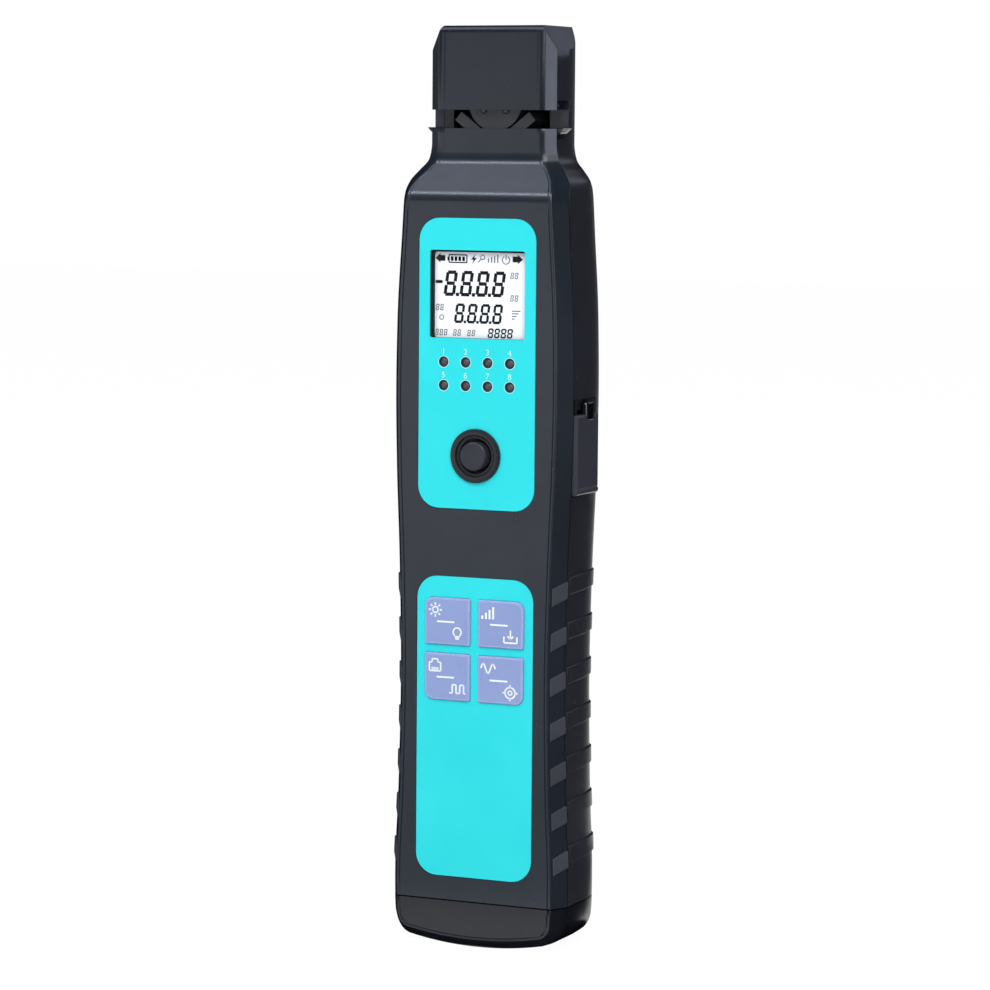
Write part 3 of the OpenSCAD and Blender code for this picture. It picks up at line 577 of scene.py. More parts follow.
def rounded(bm: BMesh, geom: Sequence[object], radius: float, steps: int, affect: str = "EDGES") -> None:
    """Round edges, or the corners at vertices, with a radius in millimetres."""
    bmesh.ops.bevel(bm, geom=geom, offset=radius * MM, segments=steps, profile=0.5, affect=affect,
                    material=-1)


def tidy(bm: BMesh) -> BMesh:
    """Merge doubles and turn every face outwards.

    Args:
        bm: The mesh to change.

    Returns:
        The same mesh.
    """
    bmesh.ops.remove_doubles(bm, verts=bm.verts[:], dist=MERGE)
    bmesh.ops.recalc_face_normals(bm, faces=bm.faces[:])
    return bm


def loft(rings: Sequence[Sequence[Vector]]) -> BMesh:
    """Skin a closed solid through rings with equal numbers of points.

    Args:
        rings: Outlines in order, each a closed loop.

    Returns:
        A mesh with flat ends.
    """
    bm = bmesh.new()
    edges = new_loop(bm, rings[0])
    bmesh.ops.edgeloop_fill(bm, edges=edges)
    ring = [e.verts[0] for e in edges]
    for points in rings[1:]:
        grown = bmesh.ops.extrude_edge_only(bm, edges=edges)["geom"]
        fresh = {g for g in grown if isinstance(g, Vert)}
        ring = [next(e.other_vert(v) for e in v.link_edges if e.other_vert(v) in fresh) for v in ring]
        for vert, point in zip(ring, points):
            vert.co = point
        edges = [g for g in grown if isinstance(g, Edge) and fresh.issuperset(g.verts)]
    bmesh.ops.edgeloop_fill(bm, edges=edges)
    return tidy(bm)


def prism(outline: Sequence[Vector], push: Vector) -> BMesh:
    """Push a flat outline through space into a solid.

    Args:
        outline: Corners of a flat closed outline.
        push: How far and which way the outline moves.

    Returns:
        A mesh with flat ends.
    """
    bm = bmesh.new()
    face = bmesh.ops.edgeloop_fill(bm, edges=new_loop(bm, outline))["faces"]
    top = bmesh.ops.extrude_face_region(bm, geom=face)["geom"]
    moved(bm, top, push)
    return tidy(bm)


def block(low: Vector, high: Vector, edge: float = 0.0, steps: int = 2) -> BMesh:
    """Make a box between two corners, with all its edges rounded.

    Args:
        low: Lowest corner.
        high: Highest corner.
        edge: Radius of the edges in millimetres.
        steps: Segments in each rounded edge.

    Returns:
        The box.
    """
    bm = bmesh.new()
    bmesh.ops.create_cube(bm, size=1.0)
    size = high - low
    bmesh.ops.scale(bm, verts=bm.verts[:], vec=size)
    bmesh.ops.translate(bm, verts=bm.verts[:], vec=(low + high) / 2)
    if edge:
        rounded(bm, bm.edges[:], edge, steps)
    return bm


def slab(places: Sizes, side: int = 1, edge: float = 0.0, steps: int = 2) -> BMesh:
    """Make a box from the X, depth and height of two corners, mirrored where the side is -1."""
    x0, x1 = sorted((side * places[0], side * places[3]))
    return block(at(x0, *places[1:3]), at(x1, *places[4:]), edge, steps)


def plate(x: float, z: float, width: float, height: float, front: float, back: float,
          corners: Sequence[float], edge: float = 0.0, steps: int = 3) -> BMesh:
    """Make a plate that faces the front, with round corners and a soft front edge.

    Args:
        x: Middle of the plate.
        z: Middle of the plate.
        width: Size along X.
        height: Size along Z.
        front: Depth of its front face behind the label face.
        back: Depth of its back face.
        corners: Radii of the lower left, lower right, upper right and upper left corners.
        edge: Radius of the front edge.
        steps: Segments in the front edge.

    Returns:
        The plate.
    """
    bm = bmesh.new()
    signs = [corner.value for corner in Corner]
    loop = new_loop(bm, [at(x + sx * width / 2, back, z + sz * height / 2) for sx, sz in signs])
    bmesh.ops.edgeloop_fill(bm, edges=loop)
    for vert, radius in zip([e.verts[0] for e in loop], corners):
        if radius:
            rounded(bm, [vert], radius, 8, "VERTICES")
    top = bmesh.ops.extrude_face_region(bm, geom=bm.faces[:])["geom"]
    moved(bm, top, BACKWARD * ((front - back) * MM))
    if edge:
        rounded(bm, [g for g in top if isinstance(g, Edge)], edge, steps)
    return tidy(bm)


def turned(profile: Sequence[Point], centre: Vector, axis: Vector, steps: int = 64) -> BMesh:
    """Spin a profile into a round solid.

    Args:
        profile: Radius and distance-along-axis pairs in millimetres, from one end to the other.
        centre: Where the distance along the axis is zero.
        axis: Unit direction of the axis.
        steps: Number of facets round the axis.

    Returns:
        The solid.
    """
    bm = bmesh.new()
    side = axis.orthogonal().normalized()
    edges = new_loop(bm, [centre + side * r * MM + axis * a * MM for r, a in profile], closed=False)
    geom = bm.verts[:] + edges
    bmesh.ops.spin(bm, geom=geom, cent=centre, axis=axis, dvec=Vector(), angle=math.tau, steps=steps,
                   use_merge=True)
    return tidy(bm)


def rod(radius: float, start: Vector, end: Vector, edge: float = 0.0, steps: int = 48) -> BMesh:
    """Make a rod between two places.

    Args:
        radius: Its radius in millimetres.
        start: Middle of one end.
        end: Middle of the other end.
        edge: Radius of its end edges in millimetres.
        steps: Number of facets round it.

    Returns:
        The rod.
    """
    bm = bmesh.new()
    axis = end - start
    turn = Matrix.Translation((start + end) / 2) @ axis.to_track_quat("Z", "Y").to_matrix().to_4x4()
    bmesh.ops.create_cone(bm, cap_ends=True, segments=steps, radius1=radius * MM, radius2=radius * MM,
                          depth=axis.length, matrix=turn)
    if edge:
        rims = [e for e in bm.edges if any(len(f.verts) == steps for f in e.link_faces)]
        rounded(bm, rims, edge, 2)
    return tidy(bm)


def joined(parts: Iterable[BMesh]) -> BMesh:
    """Put several meshes in one, each keeping its own surface.

    Args:
        parts: The meshes, which are freed.

    Returns:
        One mesh.
    """
    whole = bmesh.new()
    for part in parts:
        mesh = bpy.data.meshes.new("part")
        part.to_mesh(mesh)
        part.free()
        whole.from_mesh(mesh)
        bpy.data.meshes.remove(mesh)
    return whole


def loose_object(bm: BMesh, name: str) -> bpy.types.Object:
    """Turn a mesh into an object in the scene.

    Args:
        bm: The mesh, which is freed.
        name: Name of the object.

    Returns:
        The object.
    """
    mesh = bpy.data.meshes.new(name)
    bm.to_mesh(mesh)
    bm.free()
    obj = bpy.data.objects.new(name, mesh)
    bpy.context.scene.collection.objects.link(obj)
    return obj


def carved(solid: BMesh, cutters: Sequence[BMesh],
           operation: str = "DIFFERENCE") -> BMesh:
    """Cut shapes out of a solid, or join them to it.

    Args:
        solid: The mesh to change.
        cutters: Closed meshes that are used one after another.
        operation: Blender's name of the boolean operation.

    Returns:
        The new mesh.
    """
    target = loose_object(solid, "solid")
    tools = [loose_object(c, "cutter") for c in cutters]
    for tool in tools:
        step = target.modifiers.new("cut", "BOOLEAN")
        step.operation = operation
        step.solver = "EXACT"
        step.object = tool
    graph = bpy.context.evaluated_depsgraph_get()
    result = bmesh.new()
    result.from_object(target, graph)
    for obj in [target, *tools]:
        mesh = obj.data
        bpy.data.objects.remove(obj)
        bpy.data.meshes.remove(mesh)
    bmesh.ops.dissolve_degenerate(result, dist=MERGE, edges=result.edges[:])
    return result


class Body(Enum):
    """CAD bodies that the pieces ride on."""

    CASE = "body"
    BUTTON = "button"
    PRESS = "press"
    COVER = "cover"
    LASER_KEY = "laser_key_body"
    SAVE_KEY = "save_key_body"
    CABLE_KEY = "cable_key_body"
    WAVE_KEY = "wave_key_body"


def piece(bm: BMesh, name: str, material: Material, body: Body = Body.CASE,
          stands_for: Sequence[str] = (), soft: float = 0.0, sharp_deg: float = 32.0) -> bpy.types.Object:
    """Finish a mesh as a piece of the instrument.

    Args:
        bm: The mesh, in the frame's metres.
        name: Name of the piece.
        material: Its finish.
        body: The CAD body it moves with.
        stands_for: CAD nodes that it takes the place of.
        soft: Radius in millimetres that live bevels give its sharp edges.
        sharp_deg: Edges that turn more than this stay sharp.

    Returns:
        The piece's object.
    """
    obj = loose_object(bm, name)
    obj.data.materials.clear()
    obj.data.materials.append(material)
    obj.data.polygons.foreach_set("use_smooth", [True] * len(obj.data.polygons))
    if soft:
        bevel = obj.modifiers.new("soft_edges", "BEVEL")
        bevel.width = soft * MM
        bevel.segments = 2
        bevel.limit_method = "ANGLE"
        bevel.angle_limit = math.radians(sharp_deg)
        bevel.use_clamp_overlap = True
    else:
        obj.data.set_sharp_from_angle(angle=math.radians(sharp_deg))
    normals = obj.modifiers.new("even_normals", "WEIGHTED_NORMAL")
    normals.keep_sharp = True
    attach(obj, body.value)
    if stands_for:
        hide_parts(*stands_for)
    LOG.info("%s: %d faces", name, len(obj.data.polygons))
    return obj


def dress(node: str, material: Material) -> None:
    """Give a CAD node that keeps its shape its finish.

    Args:
        node: The CAD node.
        material: Its finish.
    """
    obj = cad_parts[node]
    obj.data.materials.clear()
    obj.data.materials.append(material)
    LOG.info("%s: keeps its CAD shape", node)


# Sub-assemblies


@dataclass
class CaseForm:
    """Outline of the casing at every height, which all its outer pieces share."""

    half_widths: tuple[Point, ...] = (
        (0.0, 22.72), (17.0, 22.9), (38.0, 22.1), (66.0, 21.62), (92.0, 22.1), (116.0, 23.0), (134.0, 23.3),
        (151.0, 23.05), (172.0, 21.9), (181.5, 21.3), (184.0, 20.7), (186.7, 18.9), (189.0, 17.1),
        (191.0, 16.55), (193.0, 16.31), (221.0, 16.31))
    setbacks: tuple[Point, ...] = (
        (178.9, 0.0), (179.5, 0.003), (180.2, 0.025), (180.9, 0.058), (181.6, 0.106), (182.1, 0.151),
        (182.6, 0.207), (187.2, 0.806), (187.7, 0.862), (188.2, 0.907), (188.75, 0.944), (189.3, 0.971),
        (190.0, 0.99), (190.8, 1.0))
    head_setback: float = 7.0
    band_widths: Point = (2.5, 2.9)
    band_depths: Point = (4.3, 1.9)
    face_edges: Point = (0.5, 3.0)
    face_draw: float = 0.6
    face_line: Sizes = (0.95, 0.16, 0.18, 0.5, 0.8)
    seam_gap: float = 0.3
    side_gaps: Point = (0.75, 0.02)
    lean_start: float = 15.0
    lean_end: float = 19.4
    lean_in: float = 0.55
    back: float = 27.0
    back_corner: float = 9.0
    wall: float = 2.0
    cap_top: float = 11.2
    slot_floor: float = 196.6
    slot_roof: float = 201.0
    slot_back: float = 13.3
    top: float = 221.0
    level_step: float = 4.0
    shoulder: Point = (178.0, 194.0)
    shoulder_step: float = 0.25

    def half_width(self, z: float) -> float:
        """Half the width at a height."""
        return eased(self.half_widths, z)

    def share(self, z: float) -> float:
        """How much of the way from body to head the front has stepped back."""
        return eased(self.setbacks, z)

    def blend(self, pair: Point, z: float) -> float:
        """Mix a body value and a head value at a height."""
        return pair[0] + (pair[1] - pair[0]) * self.share(z)

    def front(self, z: float) -> float:
        """Depth of the front face at a height."""
        return self.head_setback * self.share(z)

    def seam(self, z: float) -> float:
        """Depth of the seam between the front and rear shells."""
        return self.front(z) + self.blend(self.band_depths, z)

    def face_half(self, z: float) -> float:
        """Half the width of the flat front face."""
        return self.half_width(z) - self.blend(self.band_widths, z)

    def front_side(self, z: float, inset: float = 0.0) -> list[Point]:
        """Right half of the front outline, from the face to the seam.

        Args:
            z: Height of the outline.
            inset: How far it is drawn in.

        Returns:
            X and depth of its points.
        """
        w, f = self.half_width(z) - inset, self.face_half(z) - inset * self.face_draw
        y, s = self.front(z) + inset, self.seam(z)
        back_from, half, deep, shift, fade = self.face_line
        back_from += self.share(z) * shift
        deep *= 1 - self.share(z) * fade
        line = [(f - back_from, y), (f - back_from + half, y + deep), (f - back_from + 2 * half, y)]
        return [*line, *arc_corner((0, y), (f, y), (w, s), self.blend(self.face_edges, z), 5), (w, s)]

    def rear_side(self, z: float, inset: float = 0.0, steps: int = 8) -> list[Point]:
        """Right half of the rear outline, from the seam to the back.

        Args:
            z: Height of the outline.
            inset: How far it is drawn in.
            steps: Straight pieces in the rounded back corner.

        Returns:
            X and depth of its points.
        """
        w = self.half_width(z) - inset
        wide = self.back_corner - self.lean_in
        deep = self.back - inset - self.lean_end
        corner = [(w - self.back_corner + wide * math.cos(math.pi / 2 * k / steps),
                   self.lean_end + deep * math.sin(math.pi / 2 * k / steps)) for k in range(steps + 1)]
        return [(w, self.seam(z) + self.blend(self.side_gaps, z)), (w, self.lean_start), *corner]

    def ring(self, side: Sequence[Point], z: float) -> list[Vector]:
        """Close a right half outline with its mirror image, at one height."""
        return [at(-x, y, z) for x, y in reversed(side)] + [at(x, y, z) for x, y in side]

    def levels(self, low: float, high: float) -> list[float]:
        """Heights of the cross-sections, which are closer together at the shoulder.

        Args:
            low: The lowest height.
            high: The highest height.

        Returns:
            The heights, lowest first.
        """
        count = int((high - low) / self.shoulder_step)
        fine = [low + (high - low) * k / count for k in range(count + 1)]
        coarse = int(self.level_step / self.shoulder_step)
        return [z for k, z in enumerate(fine)
                if k % coarse == 0 or k == count or self.shoulder[0] < z < self.shoulder[1]]


@dataclass
class Part:
    """What all sub-assemblies share: the materials, by short name."""

    skin: Skin


@dataclass
class FrontShell(Part):
    """Front half of the casing, with the recesses and holes of all that it carries."""

    form: CaseForm
    face: "ControlFace"
    soft: float = 0.16
    label_outline: float = 0.22
    hollow: Point = (13.2, 186.0)

    def cuts(self) -> list[BMesh]:
        """Cutters for the hollow, label recesses, display window, button and keys.

        Returns:
            Closed meshes.
        """
        form, face = self.form, self.face
        walls = {z: [*form.front_side(z, form.wall), (form.half_width(z) - form.wall, form.seam(z) + 2)]
                 for z in form.levels(*self.hollow)}
        inner = loft([form.ring(side, z) for z, side in walls.items()])
        recesses = [face.label_plate(low, high, face.before, face.label_t, self.label_outline)
                    for low, high in face.labels]
        front, back, z = face.before, face.shell_behind, face.button_z
        window = face.window_plate(front, back, 0.0)
        button = rod(face.sleeve_r, at(0, front, z), at(0, back, z))
        return [inner, *recesses, window, *face.key_cutters(), button]

    def build(self) -> None:
        """Build and dress the shell."""
        form = self.form
        heights = form.levels(form.cap_top + form.seam_gap / 2, form.slot_floor)
        shell = carved(loft([form.ring(form.front_side(z), z) for z in heights]), self.cuts())
        piece(shell, "front_case", self.skin["face"], stands_for=("front_shell",),
              soft=self.soft)


@dataclass
class RearShell(Part):
    """Rear half of the casing, which also forms the back of the clamp head."""

    form: CaseForm
    soft: float = 0.18
    well_half: float = 12.61
    well: Point = (190.0, 217.0)
    well_back: float = 20.5
    hollow: Point = (13.2, 188.0)
    head_corner: Point = (3.3, 5.8)
    cover_recess: Sizes = (21.95, 4.9, 109.7, 30.0, 18.86, 132.9)
    jack_hole: Sizes = (18.0, 9.6, 110.9, 23.0, 18.81, 126.4)
    charge_hole: Sizes = (12.0, 9.6, 126.8, 23.0, 18.6, 130.1)
    screw_x: float = 17.2
    screw_rows: Sizes = (41.0, 96.0, 170.0)
    screw_bore: float = 1.9
    screw_seat: float = 23.4
    screw_end: float = 30.0
    side_notch: Sizes = (13.0, 9.3, 201.2, 20.0, 16.7, 203.3)
    notch_round: float = 0.9
    lip_recess: Sizes = (15.0, 9.0, 194.15, 20.0, 14.0, 195.3)
    lip_root: float = 15.6
    lip_low: Sizes = (16.45, 10.6, 14.5, 195.45)
    lip_high: Sizes = (17.75, 9.6, 14.7, 196.75)
    lip_rim: float = 0.1
    cheek: Sizes = (15.0, 13.2, 196.5, 17.6, 14.7, 201.2)
    cheek_round: float = 0.2
    gasket: Sizes = (0.12, 1.6, 0.05, 1.1)

    def corner_cut(self, side: int) -> BMesh:
        """Prism that cuts one top corner off the head.

        Args:
            side: -1 for the left and 1 for the right.

        Returns:
            A closed mesh.
        """
        w, top, (across, down) = self.form.half_width(self.form.top), self.form.top, self.head_corner
        spare, reach = 2.0, 40.0
        places = ((w - across, top), (w + spare, top - down - spare * down / across),
                  (w + spare, top + spare), (w - across, top + spare))
        return prism([at(side * x, -spare, z) for x, z in places], BACKWARD * (reach * MM))

    def lip(self, side: int) -> BMesh:
        """Flared lip that leads a fibre into the slot.

        Args:
            side: -1 for the left and 1 for the right.

        Returns:
            A closed mesh.
        """
        root, *rim, high = self.lip_root, *self.lip_high
        rings = []
        for x, y0, y1, z in (self.lip_low, self.lip_high, (*rim, high + self.lip_rim)):
            rings.append([at(side * a, d, z) for a, d in ((root, y0), (x, y0), (x, y1), (root, y1))])
        return loft(rings)

    def gaskets(self) -> BMesh:
        """Dark cord that closes the seam, one length on each side.

        Returns:
            Both lengths as one mesh.
        """
        form = self.form
        out, deep, front, back = self.gasket
        sides = []
        for side in SIDES:
            rings = []
            for z in form.levels(form.cap_top + 1, form.slot_floor - 1):
                w, s = form.half_width(z), form.seam(z)
                section = ((w - out, s - front), (w - out, s + back), (w - deep, s + back),
                           (w - deep, s - front))
                rings.append([at(side * x, d, z) for x, d in section])
            sides.append(loft(rings))
        return joined(sides)

    def cuts(self) -> list[BMesh]:
        """Cutters of the hollow, well, slot, sockets, screw seats, corners and notches.

        Returns:
            Closed meshes.
        """
        form, wide = self.form, 30.0
        walls = {z: [(form.half_width(z) - form.wall, form.seam(z) - 2), *form.rear_side(z, form.wall)[1:]]
                 for z in form.levels(*self.hollow)}
        inner = loft([form.ring(side, z) for z, side in walls.items()])
        well = (-self.well_half, 0, self.well[0] - 4, self.well_half, self.well_back, self.well[1])
        slot = (-wide, 0, form.slot_floor, wide, form.slot_back, form.slot_roof)
        boxes = [slab(places) for places in (well, slot, self.jack_hole, self.charge_hole)]
        seat, end = self.screw_seat, self.screw_end
        screws = [rod(self.screw_bore, at(s * self.screw_x, seat, z), at(s * self.screw_x, end, z))
                  for s in SIDES for z in self.screw_rows]
        return [inner, *boxes, slab(self.cover_recess, edge=0.5, steps=3), *screws, self.corner_cut(1),
                self.corner_cut(-1), *[slab(self.side_notch, s, self.notch_round, 4) for s in SIDES],
                *[slab(self.lip_recess, s) for s in SIDES]]

    def build(self) -> None:
        """Build and dress the shell, its fibre lips and cheeks, and the cord in its seam."""
        form, side = self.form, self.skin["side"]
        heights = form.levels(form.cap_top + form.seam_gap / 2, form.top)
        shell = carved(loft([form.ring(form.rear_side(z), z) for z in heights]), self.cuts())
        cheeks = joined(slab(self.cheek, s, self.cheek_round) for s in SIDES)
        piece(shell, "rear_case", side, stands_for=("rear_shell",), soft=self.soft)
        lips = joined(self.lip(s) for s in SIDES)
        piece(lips, "fibre_slot_lips", self.skin["lip"], soft=0.08)
        piece(cheeks, "fibre_slot_cheeks", side)
        piece(self.gaskets(), "seam_gasket", self.skin["knob"])


@dataclass
class GripRibs(Part):
    """Raised grip ribs that climb a little as they cross the band and the side."""

    form: CaseForm
    count: int = 7
    first: float = 21.5
    pitch: float = 10.77
    height: float = 4.6
    out: float = 0.4
    slope: float = 0.4
    sink: float = 0.6
    pad_start: float = 0.62
    pad_lift: float = 0.8
    pad_drop: Point = (1.9, 0.3)
    block_gap: float = 0.45
    climb: float = 0.04
    wrap_deg: Point = (11.0, 36.0)
    pad_lower: float = 0.55

    def band_ring(self, side: int, z: float, out: float) -> list[Vector]:
        """Outline of a pad on the slanted band.

        Args:
            side: -1 for the left and 1 for the right.
            z: Height where it meets the seam.
            out: How far it stands out.

        Returns:
            Places of its corners.
        """
        form = self.form
        w, f, s, y = form.half_width(z), form.face_half(z), form.seam(z), form.front(z)
        run = (w - f) / (s - y)
        low, high = self.pad_drop
        start, lift = y + self.pad_start, out * self.pad_lift
        points = ((f + self.pad_start * run + lift, start, -low), (w + out, s, -high),
                  (w - self.sink, s, -high), (f + self.pad_start * run - self.sink, start + 0.1, -low))
        return [at(side * x, d, z + rise) for x, d, rise in points]

    def side_ring(self, side: int, z: float, out: float) -> list[Vector]:
        """Outline of a block on the side wall.

        Args:
            side: -1 for the left and 1 for the right.
            z: Height of its front end.
            out: How far it stands out.

        Returns:
            Places of its corners.
        """
        form = self.form
        w, s = form.half_width(z), form.seam(z) + form.side_gaps[0] + self.block_gap
        wide, deep = form.back_corner - form.lean_in, form.back - form.lean_end

        def corner(angle_deg: float, grow: float) -> Point:
            """Place on the round back corner, grown outward."""
            a, reach = math.radians(angle_deg), w - form.back_corner
            return (reach + (wide + grow) * math.cos(a), form.lean_end + (deep + grow) * math.sin(a))

        first, last = self.wrap_deg
        points = [(w + out, s), (w + out, form.lean_start), (w - form.lean_in + out, form.lean_end),
                  corner(first, out), corner((first + last) / 2, out), corner(last, out),
                  corner(last, -self.sink), corner(first, -self.sink),
                  (w - form.lean_in - self.sink, form.lean_end), (w - self.sink, s)]
        return [at(side * x, d, z + self.climb * (d - s)) for x, d in points]

    def rib(self, make: Callable[[int, float, float], list[Vector]], side: int, z: float) -> BMesh:
        """Loft one rib with sloping lower and upper ends.

        Args:
            make: What gives its outline at a height.
            side: -1 for the left and 1 for the right.
            z: Height of its lower end.

        Returns:
            A closed mesh.
        """
        ends = ((0.0, -self.sink / 2), (self.slope, self.out), (self.height - self.slope, self.out),
                (self.height, -self.sink / 2))
        return loft([make(side, z + dz, out) for dz, out in ends])

    def build(self) -> None:
        """Build and dress the pads on the band and the blocks on the side."""
        rows = [(s, self.first + k * self.pitch) for s in SIDES for k in range(self.count)]
        pads = joined(self.rib(self.band_ring, s, z - self.pad_lower) for s, z in rows)
        piece(pads, "band_pads", self.skin["band"], soft=0.08)
        blocks = joined(self.rib(self.side_ring, s, z) for s, z in rows)
        piece(blocks, "grip_blocks", self.skin["side"], soft=0.1)


@dataclass
class EndCap(Part):
    """End cap with its shallow arc, its round corners and the bores of the three ports."""

    form: CaseForm
    arc_r: float = 90.0
    corner_r: float = 6.0
    foot: Point = (1.9, 1.9)
    back_bevel: float = 0.2
    ports: tuple[Point, ...] = ((-10.0, 3.0), (0.0, 4.2), (10.0, 3.0))
    port_depth: float = 13.5
    tongue: Sizes = (-19.6, 3.0, 10.0, 19.6, 24.6, 14.4)
    tongue_round: float = 1.5
    arc_steps: int = 10
    corner_steps: int = 8

    def profile(self) -> list[Point]:
        """Side of the cap, from its face to its back.

        Returns:
            Inward offset and depth of its points.
        """
        form, z = self.form, self.form.cap_top
        w, depth = form.half_width(z), self.foot[1]
        *face, seam = form.front_side(z)
        edge = face[-1]
        share = (depth - edge[1]) / (seam[1] - edge[1])
        between = (edge[0] + (seam[0] - edge[0]) * share, depth)
        return [(w - x, y) for x, y in [*face, between, seam, *form.rear_side(z)[1:]]]

    def rise(self, inset: float, depth: float) -> float:
        """How far the cap's underside is lifted.

        Args:
            inset: How far the side is drawn in.
            depth: Depth behind the label face.

        Returns:
            The lift.
        """
        if depth > self.form.lean_start:
            return inset * self.back_bevel
        lift, reach = self.foot
        return lift * max(0.0, 1 - depth / reach) + max(0.0, inset - self.form.band_widths[0])

    def half_outline(self) -> list[tuple[Point, Point]]:
        """Right half of the outline, from its top to the middle of the arc.

        Returns:
            Places with their outward normals.
        """
        form, top = self.form, self.form.cap_top - self.form.seam_gap / 2
        w, r, arc = form.half_width(0), self.corner_r, self.arc_r
        cx = w - r
        cz = arc - math.sqrt((arc - r) ** 2 - cx ** 2)
        turn = math.atan2(cx, arc - cz)
        start = [((form.half_width(z), z), (1.0, 0.0)) for z in (top, (top + cz) / 2)]
        steps = self.corner_steps
        corner = [(cx + r * math.cos(a), cz - r * math.sin(a), a)
                  for a in ((math.pi / 2 - turn) * k / steps for k in range(steps + 1))]
        bend = [((x, z), (math.cos(a), -math.sin(a))) for x, z, a in corner]
        sweep = [turn * (1 - k / self.arc_steps) for k in range(1, self.arc_steps + 1)]
        bottom = [((arc * math.sin(a), arc - arc * math.cos(a)), (math.sin(a), -math.cos(a))) for a in sweep]
        return start + bend + bottom

    def build(self) -> None:
        """Build and dress the cap."""
        half = self.half_outline()
        rings = []
        for inset, depth in self.profile():
            lift = self.rise(inset, depth)
            right = [(x - inset * nx, depth, z - lift * nz) for (x, z), (nx, nz) in half]
            left = [(-x, d, z) for x, d, z in reversed(right[:-1])]
            rings.append([at(*p) for p in right + left])
        bores = [rod(r, at(x, self.port_depth, -3), at(x, self.port_depth, 20)) for x, r in self.ports]
        tongue = slab(self.tongue, edge=self.tongue_round, steps=3)
        cap = carved(carved(loft(rings), [tongue], "UNION"), bores)
        piece(cap, "end_cap_shell", self.skin["cap"], stands_for=("end_cap",), soft=0.14)


@dataclass
class HeadCover(Part):
    """Front cover of the clamp head, with its top bevel and cut corners."""

    form: CaseForm
    rear: RearShell
    round_r: float = 1.8
    round_steps: int = 10
    bottom: float = 201.0
    peg: Sizes = (1.2, 14.46, 13.1, 211.0)
    peg_root: float = 0.5

    def build(self) -> None:
        """Build and dress the cover and its two pegs."""
        form = self.form
        rings = [form.ring(form.front_side(z), z) for z in (self.bottom, form.top)]
        y, top, r, reach, over = form.front(form.top), form.top, self.round_r, 30.0, 2.0
        turns = (math.pi / 2 * k / self.round_steps for k in range(self.round_steps + 1))
        arc = [(y + r * (1 - math.cos(a)), top - r * (1 - math.sin(a))) for a in turns]
        outline = [(y - over, top - r), *arc, (y + r, top + over), (y - over, top + over)]
        wedge = prism([at(-reach, d, z) for d, z in outline], Vector((2 * reach * MM, 0, 0)))
        cover = carved(loft(rings), [wedge, self.rear.corner_cut(1), self.rear.corner_cut(-1)])
        peg_r, x, end, z = self.peg
        start = form.seam(top) - self.peg_root
        pegs = [rod(peg_r, at(s * x, start, z), at(s * x, end, z), 0.2, 24) for s in SIDES]
        piece(joined([cover, *pegs]), "head_front", self.skin["head"], stands_for=("head_cover",),
              soft=0.22)


